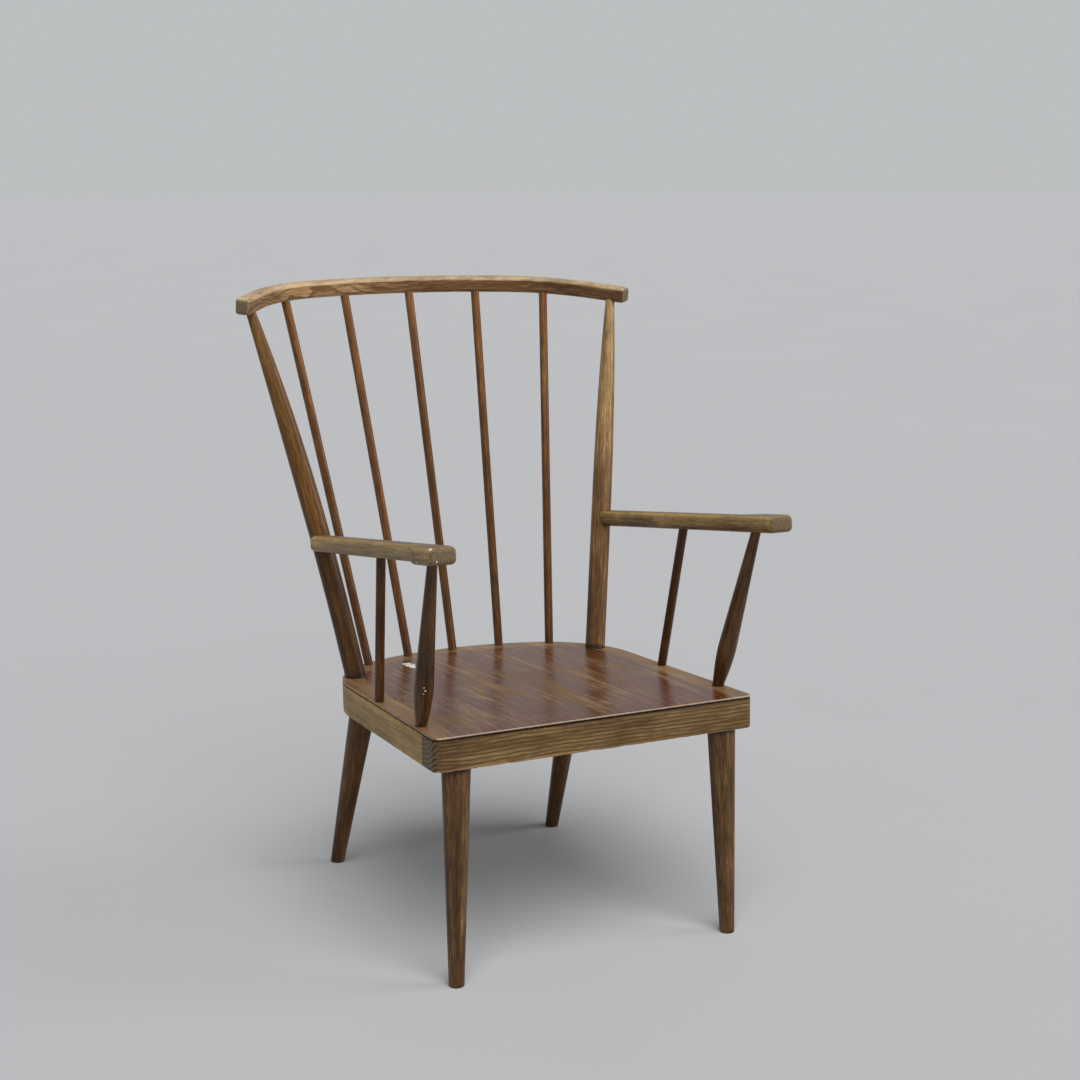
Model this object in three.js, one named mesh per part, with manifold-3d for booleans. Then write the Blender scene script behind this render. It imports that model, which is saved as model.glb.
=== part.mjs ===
import * as THREE from 'three';
import { mergeVertices } from 'three/addons/utils/BufferGeometryUtils.js';
import Module from 'manifold-3d';

// Driving dimensions in millimetres and degrees. The chair faces -Y, the front rail's face is y = 0.
const SEAT_FRONT_HEIGHT = 370;
const SEAT_TILT = 2.37;
const SEAT_HALF_WIDTH = 259;
const SEAT_SIDE_TAPER = 0.033;
const SEAT_BACK_Y = 540;
const SEAT_BACK_RADIUS = 380;
const SEAT_REAR_CORNER_RADIUS = 165;
const SEAT_FRONT_CORNER_RADIUS = 12;
const PANEL_THICKNESS = 4.4;
const PANEL_EDGE = 1.6;
const RAIL_HEIGHT = 45.3;
const RAIL_EDGE = 1.2;
const FRONT_RAIL_DEPTH = 48;
const BENT_RAIL_WIDTH = 46;
const FIT_GAP = 0.3;

// Where the uprights stand on the seat, and how far along the crest rail from its middle they meet it.
const SPINDLE_SEATS = [[0, 524], [82.7, 518.2], [163.6, 489.6]];
const SPINDLE_STATIONS = [0, 120.5, 241];
const POST_SEAT = [213.8, 417.8];
const POST_STATION = 364.5;
const POST_BOW = [-5, -10, 0];

const CREST_CENTRE_Y = 701.7;
const CREST_CENTRE_Z = 945.9;
const CREST_TILT = 6.98;
const CREST_MIDDLE_RADIUS = 811;
const CREST_BEND_RADIUS = 208;
const CREST_BEND_START = 12.77;
const CREST_BEND_END = 52.65;
const CREST_STRAIGHT = 69.7;
const CREST_DEPTH = 24.5;
const CREST_HEIGHT = 26.2;
const CREST_EDGE = 5;

const SPINDLE_RADIUS = 7.1;
const POST_RADIUS = 16.3;
const POST_TOP_RADIUS = 7.9;
const POST_NECK = 19;
const POST_RINGS = 14;
const POST_TAPER_START = 0.42;
const POST_TAPER_POWER = 2.1;
const POST_TENON_RADIUS = 10;
const ARM_POST_TOP_RADIUS = 7.3;
const ARM_POST_BELLY_RADIUS = 14;
const ARM_POST_FOOT_RADIUS = 8.7;
const ARM_POST_SHANK = 3;
const ARM_POST_BELLY_SHARE = 0.26;
const ARM_POST_RINGS = 5;
const LEG_TOP_RADIUS = 21.1;
const LEG_FOOT_RADIUS = 11.3;
const LEG_FOOT_CHAMFER = 1.6;
const LEG_TENON_RADIUS = 12;
const SEAT_SOCKET_DEPTH = 24;
const TOP_SOCKET_DEPTH = 14;
const LEG_TENON_LENGTH = 30;

const ARM_SLOPE = 8.25;
const ARM_THICKNESS = 25.3;
const ARM_EDGE = 6.3;
const ARM_UNDERSIDE_Z = 617;
const ARM_FRONT_Y = -55.5;
const ARM_REAR_Y = 470;
const ARM_REAR_INNER_X = 239.5;
const ARM_REAR_OUTER_X = 267.5;
const ARM_FRONT_INNER_X = 245;
const ARM_NECK_OUTER_X = 269;
const ARM_PADDLE_OUTER_X = 287.5;
const ARM_SHOULDER_Y = 6;
const ARM_NECK_Y = 50;
const ARM_FRONT_CORNER = 9;
const ARM_REAR_CORNER = 8;

const ARM_SPINDLE_SEAT = [242.7, 244.7];
const ARM_SPINDLE_TOP = [253.5, 202.3];
const ARM_POST_SEAT = [245.2, 78.3];
const ARM_POST_TOP = [258.4, 2.7];
const FRONT_LEG_TOP = [217.1, 23.5];
const FRONT_LEG_FOOT = [225.3, 5.6];
const REAR_LEG_TOP = [189.7, 447];
const REAR_LEG_FOOT = [201, 551];

const DOWEL_RADIUS = 5;
const DOWEL_LENGTH = 36;
const DOWEL_INSET = 21;
const DOWEL_SPACING = 20;
const SCREW_RADIUS = 2.4;
const SCREW_HEAD_RADIUS = 4.6;
const SCREW_HEAD_HEIGHT = 2.6;
const SCREW_LENGTH = 58;
const SCREW_SINK = 4;
const SCREW_POINT = 11;
const SCREW_HEAD_RINGS = 3;
const SCREW_SLOT = [1.2, 12, 1.4];

const FINE_SIDES = 20;
const SPINDLE_SIDES = 16;
const CURVE_STEPS = 6;
const FAR = 2000;
const CUT_MARGIN = 1;
const QUARTER = Math.PI / 2;

const wasm = await Module();
wasm.setup();

const radians = THREE.MathUtils.degToRad;

// Materials
const FINISHES = {
  panel: new THREE.MeshStandardMaterial({ color: 0x73554a, roughness: 0.42, metalness: 0 }),
  rail: new THREE.MeshStandardMaterial({ color: 0x7d683f, roughness: 0.62, metalness: 0 }),
  turned: new THREE.MeshStandardMaterial({ color: 0x5f4129, roughness: 0.5, metalness: 0 }),
  crest: new THREE.MeshStandardMaterial({ color: 0x8a6b47, roughness: 0.58, metalness: 0 }),
  arm: new THREE.MeshStandardMaterial({ color: 0x8c784b, roughness: 0.6, metalness: 0 }),
  dowel: new THREE.MeshStandardMaterial({ color: 0xb08d5f, roughness: 0.7, metalness: 0 }),
  steel: new THREE.MeshStandardMaterial({ color: 0x6f6b66, roughness: 0.5, metalness: 0.9 }),
};

// Solids: geometry to manifold and back
function solid(geometry) {
  const bare = geometry.index ? geometry.toNonIndexed() : geometry.clone();
  bare.deleteAttribute('normal');
  bare.deleteAttribute('uv');
  const merged = mergeVertices(bare, 1e-4);
  return new wasm.Manifold(new wasm.Mesh({
    numProp: 3,
    vertProperties: new Float32Array(merged.attributes.position.array),
    triVerts: new Uint32Array(merged.index.array),
  }));
}

function geometryOf(manifold) {
  const mesh = manifold.getMesh();
  const geometry = new THREE.BufferGeometry();
  geometry.setAttribute('position', new THREE.BufferAttribute(mesh.vertProperties, 3));
  geometry.setIndex(new THREE.BufferAttribute(mesh.triVerts, 1));
  geometry.computeVertexNormals();
  return geometry;
}

// A solid of revolution along +Z from [radius, height] points, first and last on the axis.
function turned(points, sides) {
  const profile = points.map(([radius, height]) => new THREE.Vector2(radius, height));
  const geometry = new THREE.LatheGeometry(profile, sides);
  return geometry.rotateX(Math.PI / 2);
}

// Moves a piece made along +Z so that its origin is at start and its axis points to end.
function alongAxis(geometry, start, end) {
  const direction = end.clone().sub(start).normalize();
  const turn = new THREE.Quaternion().setFromUnitVectors(new THREE.Vector3(0, 0, 1), direction);
  return geometry.applyQuaternion(turn).translate(start.x, start.y, start.z);
}

function rod(radius, start, end, sides = FINE_SIDES) {
  const length = start.distanceTo(end);
  return alongAxis(turned([[0, 0], [radius, 0], [radius, length], [0, length]], sides), start, end);
}

function alongLine(start, end, distance) {
  return end.clone().sub(start).normalize().multiplyScalar(distance).add(start);
}

// A board from its plan outline with rounded edges, standing on z = 0. Growth adds a margin all round.
function extrude(shape, height, edge, steps, growth = 0) {
  return new THREE.ExtrudeGeometry(shape, {
    depth: height - 2 * edge + 2 * growth,
    bevelEnabled: true,
    bevelThickness: edge,
    bevelSize: edge,
    bevelOffset: growth - edge,
    bevelSegments: steps,
    curveSegments: CURVE_STEPS,
  }).translate(0, 0, edge - growth);
}

function mirrored(geometry) {
  const copy = geometry.clone().scale(-1, 1, 1);
  const flipped = copy.index ? copy.toNonIndexed() : copy;
  const position = flipped.attributes.position;
  const first = new THREE.Vector3();
  const second = new THREE.Vector3();
  for (let corner = 0; corner < position.count; corner += 3) {
    first.fromBufferAttribute(position, corner + 1);
    second.fromBufferAttribute(position, corner + 2);
    position.setXYZ(corner + 1, second.x, second.y, second.z);
    position.setXYZ(corner + 2, first.x, first.y, first.z);
  }
  return flipped;
}

// Seat plane: local z = 0 is the panel's top face, the back is lower than the front.
const seatMatrix = new THREE.Matrix4()
  .makeTranslation(0, 0, SEAT_FRONT_HEIGHT)
  .multiply(new THREE.Matrix4().makeRotationX(-radians(SEAT_TILT)));
const PANEL_BOTTOM = -PANEL_THICKNESS;
const RAIL_TOP = PANEL_BOTTOM - FIT_GAP;
const RAIL_BOTTOM = RAIL_TOP - RAIL_HEIGHT;

function seatPoint(x, y, depth = 0) {
  return new THREE.Vector3(x, y, depth).applyMatrix4(seatMatrix);
}

function halfSpace(matrix, level, above) {
  const box = new THREE.BoxGeometry(FAR, FAR, FAR);
  box.translate(0, 0, level + (above ? FAR : -FAR) / 2);
  return solid(box.applyMatrix4(matrix));
}

const aboveSeat = halfSpace(seatMatrix, FIT_GAP, true);
const belowRails = halfSpace(seatMatrix, RAIL_BOTTOM - FIT_GAP, false);
const aboveFloor = halfSpace(new THREE.Matrix4(), 0, true);

// Seat outline: straight tapered side, rear corner arc and back arc, each tangent to the next.
const sideLean = Math.atan(SEAT_SIDE_TAPER);
const backCentreY = SEAT_BACK_Y - SEAT_BACK_RADIUS;

function rearCorner() {
  const reach = SEAT_BACK_RADIUS - SEAT_REAR_CORNER_RADIUS;
  const along = new THREE.Vector2(-Math.sin(sideLean), Math.cos(sideLean));
  const inward = new THREE.Vector2(-Math.cos(sideLean), -Math.sin(sideLean));
  const base = new THREE.Vector2(SEAT_HALF_WIDTH, -backCentreY);
  base.addScaledVector(inward, SEAT_REAR_CORNER_RADIUS);
  const half = base.dot(along);
  const run = -half + Math.sqrt(half * half - base.lengthSq() + reach * reach);
  const centre = base.addScaledVector(along, run);
  return { x: centre.x, y: centre.y + backCentreY, blend: Math.atan2(centre.x, centre.y) };
}

const corner = rearCorner();

function sideX(y, inset) {
  return SEAT_HALF_WIDTH - SEAT_SIDE_TAPER * y - inset / Math.cos(sideLean);
}

// Draws arcs given as [centre x, centre y, radius, from, to] one after the other, or back along them.
function followArcs(path, arcs, reverse) {
  const ordered = reverse ? arcs.reverse() : arcs;
  for (const [x, y, radius, from, to] of ordered) {
    path.absarc(x, y, radius, reverse ? to : from, reverse ? from : to, reverse);
  }
}

// Adds the rear half of the outline from the right side round the back to the left side.
function rearArcs(path, inset, reverse) {
  const small = SEAT_REAR_CORNER_RADIUS - inset;
  const large = SEAT_BACK_RADIUS - inset;
  followArcs(path, [
    [corner.x, corner.y, small, sideLean, QUARTER - corner.blend],
    [0, backCentreY, large, QUARTER - corner.blend, QUARTER + corner.blend],
    [-corner.x, corner.y, small, QUARTER + corner.blend, Math.PI - sideLean],
  ], reverse);
}

// Draws the front edge with its two rounded corners, left to right.
function frontEdge(path) {
  const radius = SEAT_FRONT_CORNER_RADIUS;
  const x = SEAT_HALF_WIDTH - radius;
  path.absarc(-x, radius, radius, 2 * QUARTER, 3 * QUARTER, false);
  path.absarc(x, radius, radius, 3 * QUARTER, 4 * QUARTER, false);
}

function panelGeometry() {
  const shape = new THREE.Shape();
  frontEdge(shape);
  rearArcs(shape, 0, false);
  return extrude(shape, PANEL_THICKNESS, PANEL_EDGE, 2).translate(0, 0, PANEL_BOTTOM).applyMatrix4(seatMatrix);
}

function frontRailGeometry() {
  const shape = new THREE.Shape();
  const rearHalf = sideX(FRONT_RAIL_DEPTH, 0);
  frontEdge(shape);
  shape.lineTo(rearHalf, FRONT_RAIL_DEPTH);
  shape.lineTo(-rearHalf, FRONT_RAIL_DEPTH);
  return extrude(shape, RAIL_HEIGHT, RAIL_EDGE, 1).translate(0, 0, RAIL_BOTTOM).applyMatrix4(seatMatrix);
}

function bentRailGeometry() {
  const shape = new THREE.Shape();
  const frontY = FRONT_RAIL_DEPTH + FIT_GAP;
  const outer = sideX(frontY, 0);
  const inner = sideX(frontY, BENT_RAIL_WIDTH);
  shape.moveTo(inner, frontY);
  shape.lineTo(outer, frontY);
  rearArcs(shape, 0, false);
  shape.lineTo(-outer, frontY);
  shape.lineTo(-inner, frontY);
  rearArcs(shape, BENT_RAIL_WIDTH, true);
  return extrude(shape, RAIL_HEIGHT, RAIL_EDGE, 1).translate(0, 0, RAIL_BOTTOM).applyMatrix4(seatMatrix);
}

// Crest rail: a flat bow in a plane that rises to the back. Local z = 0 is its mid height.
const crestMatrix = new THREE.Matrix4()
  .makeTranslation(0, CREST_CENTRE_Y, CREST_CENTRE_Z)
  .multiply(new THREE.Matrix4().makeRotationX(radians(CREST_TILT)));
const bendStart = radians(CREST_BEND_START);
const bendEnd = radians(CREST_BEND_END);
const bendCentre = new THREE.Vector2(Math.sin(bendStart), Math.cos(bendStart))
  .multiplyScalar(CREST_MIDDLE_RADIUS - CREST_BEND_RADIUS)
  .add(new THREE.Vector2(0, -CREST_MIDDLE_RADIUS));
const crestMiddleLength = CREST_MIDDLE_RADIUS * bendStart;
const crestBendLength = CREST_BEND_RADIUS * (bendEnd - bendStart);

function crestPoint(distance) {
  const point = new THREE.Vector3();
  const past = distance - crestMiddleLength;
  if (past <= 0) {
    const angle = distance / CREST_MIDDLE_RADIUS;
    point.set(Math.sin(angle), Math.cos(angle) - 1, 0).multiplyScalar(CREST_MIDDLE_RADIUS);
    return point.applyMatrix4(crestMatrix);
  }
  const turn = Math.min(bendStart + past / CREST_BEND_RADIUS, bendEnd);
  const straight = Math.max(past - crestBendLength, 0);
  point.set(Math.sin(turn), Math.cos(turn), 0).multiplyScalar(CREST_BEND_RADIUS);
  point.add(new THREE.Vector3(bendCentre.x, bendCentre.y, 0));
  point.add(new THREE.Vector3(Math.cos(turn), -Math.sin(turn), 0).multiplyScalar(straight));
  return point.applyMatrix4(crestMatrix);
}

function crestSide(path, offset, reverse) {
  const bend = CREST_BEND_RADIUS + offset;
  const bow = CREST_MIDDLE_RADIUS + offset;
  followArcs(path, [
    [bendCentre.x, bendCentre.y, bend, QUARTER - bendEnd, QUARTER - bendStart],
    [0, -CREST_MIDDLE_RADIUS, bow, QUARTER - bendStart, QUARTER + bendStart],
    [-bendCentre.x, bendCentre.y, bend, QUARTER + bendStart, QUARTER + bendEnd],
  ], reverse);
}

function crestEnd(offset, side) {
  const bend = CREST_BEND_RADIUS + offset;
  const x = bendCentre.x + bend * Math.sin(bendEnd) + CREST_STRAIGHT * Math.cos(bendEnd);
  const y = bendCentre.y + bend * Math.cos(bendEnd) - CREST_STRAIGHT * Math.sin(bendEnd);
  return [side * x, y];
}

function crestGeometry() {
  const shape = new THREE.Shape();
  const half = CREST_DEPTH / 2;
  shape.moveTo(...crestEnd(-half, 1));
  shape.lineTo(...crestEnd(half, 1));
  crestSide(shape, half, false);
  shape.lineTo(...crestEnd(half, -1));
  shape.lineTo(...crestEnd(-half, -1));
  crestSide(shape, -half, true);
  const bar = extrude(shape, CREST_HEIGHT, CREST_EDGE, 2).translate(0, 0, -CREST_HEIGHT / 2);
  return bar.applyMatrix4(crestMatrix);
}

// Arms: boards that rise to the front. Local z = 0 is the underside.
const armMatrix = new THREE.Matrix4()
  .makeTranslation(0, 0, ARM_UNDERSIDE_Z)
  .multiply(new THREE.Matrix4().makeRotationX(-radians(ARM_SLOPE)));
const armStretch = 1 / Math.cos(radians(ARM_SLOPE));

function armPoint(x, y, height) {
  return new THREE.Vector3(x, y * armStretch, height).applyMatrix4(armMatrix);
}

function roundedCorner(path, x, y, radius, quarters) {
  path.absarc(x, y, radius, quarters * QUARTER, (quarters + 1) * QUARTER, false);
}

function armGeometry(growth = 0) {
  const shape = new THREE.Shape();
  const front = ARM_FRONT_Y * armStretch + ARM_FRONT_CORNER;
  const rear = ARM_REAR_Y * armStretch - ARM_REAR_CORNER;
  const shoulder = ARM_SHOULDER_Y * armStretch;
  const neck = ARM_NECK_Y * armStretch;
  const sweep = (shoulder + neck) / 2;
  roundedCorner(shape, ARM_FRONT_INNER_X + ARM_FRONT_CORNER, front, ARM_FRONT_CORNER, 2);
  roundedCorner(shape, ARM_PADDLE_OUTER_X - ARM_FRONT_CORNER, front, ARM_FRONT_CORNER, 3);
  shape.lineTo(ARM_PADDLE_OUTER_X, shoulder);
  shape.bezierCurveTo(ARM_PADDLE_OUTER_X, sweep, ARM_NECK_OUTER_X, sweep, ARM_NECK_OUTER_X, neck);
  roundedCorner(shape, ARM_REAR_OUTER_X - ARM_REAR_CORNER, rear, ARM_REAR_CORNER, 0);
  roundedCorner(shape, ARM_REAR_INNER_X + ARM_REAR_CORNER, rear, ARM_REAR_CORNER, 1);
  return extrude(shape, ARM_THICKNESS, ARM_EDGE, 2, growth).applyMatrix4(armMatrix);
}

// How far an upright goes past the end of its axis, at the crest rail's mid height or the arm's underside.
const CREST_TOP_REACH = TOP_SOCKET_DEPTH - CREST_HEIGHT / 2;
const ARM_TOP_REACH = TOP_SOCKET_DEPTH;

// Turned uprights. Each has its axis from a point on the seat to a point in the rail or arm above it.
function upright(seat, top) {
  const foot = seatPoint(seat[0], seat[1]);
  return { foot, top, length: foot.distanceTo(top) };
}

function straightSpindle(axis, topReach) {
  const start = alongLine(axis.foot, axis.top, -SEAT_SOCKET_DEPTH);
  const end = alongLine(axis.foot, axis.top, axis.length + topReach);
  return rod(SPINDLE_RADIUS, start, end, SPINDLE_SIDES);
}

function seatSocket(axis, radius) {
  const start = alongLine(axis.foot, axis.top, -SEAT_SOCKET_DEPTH - CUT_MARGIN);
  const end = alongLine(axis.foot, axis.top, SEAT_SOCKET_DEPTH);
  return solid(rod(radius + FIT_GAP, start, end, SPINDLE_SIDES));
}

function topSocket(axis, radius, topReach) {
  const start = alongLine(axis.foot, axis.top, axis.length - 2 * CREST_HEIGHT);
  const end = alongLine(axis.foot, axis.top, axis.length + topReach + CUT_MARGIN);
  return solid(rod(radius + FIT_GAP, start, end, SPINDLE_SIDES));
}

// The back post keeps its full girth to above the arm, then tapers in a soft curve to the crest rail.
function postProfile(length) {
  const points = [[0, -POST_RADIUS], [POST_RADIUS, -POST_RADIUS]];
  const tapered = length - POST_NECK;
  for (let ring = 0; ring <= POST_RINGS; ring += 1) {
    const share = ring / POST_RINGS;
    const past = Math.max(share - POST_TAPER_START, 0) / (1 - POST_TAPER_START);
    const thinning = (POST_RADIUS - POST_TOP_RADIUS) * Math.pow(past, POST_TAPER_POWER);
    points.push([POST_RADIUS - thinning, tapered * share]);
  }
  points.push([POST_TOP_RADIUS, length + CREST_TOP_REACH], [0, length + CREST_TOP_REACH]);
  return points;
}

// How far the bent post stands off its straight axis at a distance along it.
function postBow(axis, distance) {
  const share = THREE.MathUtils.clamp(distance / (axis.length - POST_NECK), 0, 1);
  return new THREE.Vector3(...POST_BOW).multiplyScalar(4 * share * (1 - share));
}

function bowed(geometry, axis) {
  const direction = axis.top.clone().sub(axis.foot).normalize();
  const position = geometry.attributes.position;
  const point = new THREE.Vector3();
  for (let index = 0; index < position.count; index += 1) {
    point.fromBufferAttribute(position, index);
    const distance = point.clone().sub(axis.foot).dot(direction);
    point.add(postBow(axis, distance));
    position.setXYZ(index, point.x, point.y, point.z);
  }
  return geometry;
}

// The front arm post swells from a slim top to a belly low down, then draws in to its foot.
function armPostProfile(length) {
  const points = [[0, -SEAT_SOCKET_DEPTH], [ARM_POST_FOOT_RADIUS, -SEAT_SOCKET_DEPTH]];
  const bellyHeight = length * ARM_POST_BELLY_SHARE;
  const swell = ARM_POST_BELLY_RADIUS - ARM_POST_FOOT_RADIUS;
  for (let ring = 0; ring <= ARM_POST_RINGS; ring += 1) {
    const share = ring / ARM_POST_RINGS;
    const height = ARM_POST_SHANK + (bellyHeight - ARM_POST_SHANK) * share;
    points.push([ARM_POST_FOOT_RADIUS + swell * Math.sin(share * QUARTER), height]);
  }
  points.push([ARM_POST_TOP_RADIUS, length - ARM_POST_SHANK]);
  points.push([ARM_POST_TOP_RADIUS, length + ARM_TOP_REACH], [0, length + ARM_TOP_REACH]);
  return points;
}

function legSolid(top, foot) {
  const head = seatPoint(top[0], top[1], RAIL_BOTTOM);
  const base = new THREE.Vector3(foot[0], foot[1], 0);
  const length = base.distanceTo(head);
  const flare = (LEG_TOP_RADIUS - LEG_FOOT_RADIUS) / length;
  const spare = LEG_TOP_RADIUS;
  const body = turned([
    [0, -spare],
    [LEG_FOOT_RADIUS - flare * spare, -spare],
    [LEG_TOP_RADIUS + flare * spare, length + spare],
    [0, length + spare],
  ], FINE_SIDES);
  const footRim = turned([
    [0, -CUT_MARGIN],
    [LEG_FOOT_RADIUS - LEG_FOOT_CHAMFER - CUT_MARGIN, -CUT_MARGIN],
    [LEG_FOOT_RADIUS + LEG_TOP_RADIUS, LEG_TOP_RADIUS + LEG_FOOT_CHAMFER],
    [FAR / 2, LEG_TOP_RADIUS + LEG_FOOT_CHAMFER],
    [FAR / 2, FAR / 2],
    [0, FAR / 2],
  ], FINE_SIDES).translate(base.x, base.y, 0);
  const tenonStart = alongLine(base, head, length - LEG_TOP_RADIUS);
  const tenonEnd = alongLine(base, head, length + LEG_TENON_LENGTH);
  const trimmed = solid(alongAxis(body, base, head)).intersect(belowRails).intersect(aboveFloor);
  return trimmed.intersect(solid(footRim)).add(solid(rod(LEG_TENON_RADIUS, tenonStart, tenonEnd)));
}

function legSocket(top, foot) {
  const head = seatPoint(top[0], top[1], RAIL_BOTTOM);
  const base = new THREE.Vector3(foot[0], foot[1], 0);
  const length = base.distanceTo(head);
  const start = alongLine(base, head, length - LEG_TOP_RADIUS);
  const end = alongLine(base, head, length + LEG_TENON_LENGTH + CUT_MARGIN);
  return solid(rod(LEG_TENON_RADIUS + FIT_GAP, start, end));
}

// Axes of the uprights on the right-hand side, x positive. The left-hand side is their mirror image.
const postAxis = upright(POST_SEAT, crestPoint(POST_STATION));
const armSpindleAxis = upright(ARM_SPINDLE_SEAT, armPoint(...ARM_SPINDLE_TOP, 0));
const armPostAxis = upright(ARM_POST_SEAT, armPoint(...ARM_POST_TOP, 0));
const spindleAxes = SPINDLE_SEATS.map((seat, index) => upright(seat, crestPoint(SPINDLE_STATIONS[index])));

// Arm screw: from the back of the post, along the arm, into the arm's rear end.
const armDirection = armPoint(0, 0, 0).sub(armPoint(0, 1, 0)).normalize();
const armRearMiddle = armPoint((ARM_REAR_INNER_X + ARM_REAR_OUTER_X) / 2, ARM_REAR_Y, ARM_THICKNESS / 2);
const postShare = (armRearMiddle.z - postAxis.foot.z) / (postAxis.top.z - postAxis.foot.z);
const screwCentre = postAxis.foot.clone().lerp(postAxis.top, postShare);
screwCentre.add(postBow(postAxis, postShare * postAxis.length));
const screwHeadSeat = screwCentre.clone().addScaledVector(armDirection, SCREW_SINK - POST_RADIUS);
const screwTip = screwHeadSeat.clone().addScaledVector(armDirection, SCREW_LENGTH);
const screwBack = screwHeadSeat.clone().addScaledVector(armDirection, -2 * POST_RADIUS);

function screwSolid() {
  const points = [];
  for (let ring = 0; ring <= SCREW_HEAD_RINGS; ring += 1) {
    const angle = QUARTER * (1 - ring / SCREW_HEAD_RINGS);
    const radius = ring === 0 ? 0 : SCREW_HEAD_RADIUS * Math.cos(angle);
    points.push([radius, -SCREW_HEAD_HEIGHT * Math.sin(angle)]);
  }
  points.push([SCREW_RADIUS, 0], [SCREW_RADIUS, SCREW_LENGTH - SCREW_POINT], [0, SCREW_LENGTH]);
  const slot = new THREE.BoxGeometry(...SCREW_SLOT).translate(0, 0, -SCREW_HEAD_HEIGHT);
  const cut = solid(turned(points, SPINDLE_SIDES)).subtract(solid(slot));
  return solid(alongAxis(geometryOf(cut), screwHeadSeat, screwTip));
}

function screwHole(radius, end) {
  const length = screwBack.distanceTo(end) + CUT_MARGIN;
  return solid(rod(radius + FIT_GAP, screwBack, alongLine(screwBack, screwTip, length), SPINDLE_SIDES));
}

const screwShankHole = screwHole(SCREW_RADIUS, screwTip);
const screwHeadHole = screwHole(SCREW_HEAD_RADIUS, screwHeadSeat);

function postSolid() {
  const straight = alongAxis(turned(postProfile(postAxis.length), FINE_SIDES), postAxis.foot, postAxis.top);
  const body = bowed(straight, postAxis);
  const tenonStart = alongLine(postAxis.foot, postAxis.top, -SEAT_SOCKET_DEPTH);
  const tenonEnd = alongLine(postAxis.foot, postAxis.top, POST_RADIUS);
  const tenon = solid(rod(POST_TENON_RADIUS, tenonStart, tenonEnd));
  const armHousing = solid(armGeometry(FIT_GAP));
  const standing = solid(body).intersect(aboveSeat).add(tenon);
  return standing.subtract(armHousing).subtract(screwShankHole).subtract(screwHeadHole);
}

function armSolid() {
  return solid(armGeometry())
    .subtract(screwShankHole)
    .subtract(topSocket(armSpindleAxis, SPINDLE_RADIUS, ARM_TOP_REACH))
    .subtract(topSocket(armPostAxis, ARM_POST_TOP_RADIUS, ARM_TOP_REACH));
}

// Dowels across the joint between the front rail and each end of the bent rail, right-hand side.
const dowelAxes = [0.5, -0.5].map((row) => {
  const depth = RAIL_TOP - RAIL_HEIGHT / 2 + row * DOWEL_SPACING;
  const x = sideX(FRONT_RAIL_DEPTH, DOWEL_INSET);
  return {
    start: seatPoint(x, FRONT_RAIL_DEPTH - DOWEL_LENGTH / 2, depth),
    end: seatPoint(x, FRONT_RAIL_DEPTH + DOWEL_LENGTH / 2, depth),
  };
});

function dowelSocket(axis) {
  const start = alongLine(axis.start, axis.end, -CUT_MARGIN);
  const end = alongLine(axis.start, axis.end, DOWEL_LENGTH + CUT_MARGIN);
  return solid(rod(DOWEL_RADIUS + FIT_GAP, start, end, SPINDLE_SIDES));
}

// A cutter and its mirror image, taken from both sides of a piece.
function cutBothSides(piece, cutters) {
  let result = piece;
  for (const cutter of cutters) {
    result = result.subtract(cutter).subtract(solid(mirrored(geometryOf(cutter))));
  }
  return result;
}

const seatSockets = [
  seatSocket(postAxis, POST_TENON_RADIUS),
  seatSocket(armSpindleAxis, SPINDLE_RADIUS),
  seatSocket(armPostAxis, ARM_POST_FOOT_RADIUS),
  ...spindleAxes.map((axis) => seatSocket(axis, SPINDLE_RADIUS)),
];
const dowelSockets = dowelAxes.map(dowelSocket);
const crestSockets = [
  topSocket(postAxis, POST_TOP_RADIUS, CREST_TOP_REACH),
  ...spindleAxes.map((axis) => topSocket(axis, SPINDLE_RADIUS, CREST_TOP_REACH)),
];

// Assembly
const chair = new THREE.Group();

function place(name, geometry, material) {
  const mesh = new THREE.Mesh(geometry, material);
  mesh.name = name;
  chair.add(mesh);
}

function placePair(name, geometry, material) {
  place(`right_${name}`, geometry, material);
  place(`left_${name}`, mirrored(geometry), material);
}

place('seat_panel', geometryOf(cutBothSides(solid(panelGeometry()), seatSockets)), FINISHES.panel);
place('front_rail', geometryOf(cutBothSides(
  solid(frontRailGeometry()), [...dowelSockets, legSocket(FRONT_LEG_TOP, FRONT_LEG_FOOT)])), FINISHES.rail);
place('bent_rail', geometryOf(cutBothSides(
  solid(bentRailGeometry()),
  [...seatSockets, ...dowelSockets, legSocket(REAR_LEG_TOP, REAR_LEG_FOOT)])), FINISHES.rail);
place('crest_rail', geometryOf(cutBothSides(solid(crestGeometry()), crestSockets)), FINISHES.crest);

placePair('front_leg', geometryOf(legSolid(FRONT_LEG_TOP, FRONT_LEG_FOOT)), FINISHES.turned);
placePair('rear_leg', geometryOf(legSolid(REAR_LEG_TOP, REAR_LEG_FOOT)), FINISHES.turned);
placePair('back_post', geometryOf(postSolid()), FINISHES.turned);
placePair('arm', geometryOf(armSolid()), FINISHES.arm);
placePair('arm_spindle', straightSpindle(armSpindleAxis, ARM_TOP_REACH), FINISHES.turned);
placePair('arm_post', alongAxis(
  turned(armPostProfile(armPostAxis.length), FINE_SIDES), armPostAxis.foot, armPostAxis.top), FINISHES.turned);
placePair('arm_screw', geometryOf(screwSolid()), FINISHES.steel);
dowelAxes.forEach((axis, index) => {
  const row = index === 0 ? 'upper' : 'lower';
  placePair(`${row}_frame_dowel`, rod(DOWEL_RADIUS, axis.start, axis.end, SPINDLE_SIDES), FINISHES.dowel);
});

place('middle_spindle', straightSpindle(spindleAxes[0], CREST_TOP_REACH), FINISHES.turned);
placePair('inner_spindle', straightSpindle(spindleAxes[1], CREST_TOP_REACH), FINISHES.turned);
placePair('outer_spindle', straightSpindle(spindleAxes[2], CREST_TOP_REACH), FINISHES.turned);

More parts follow.
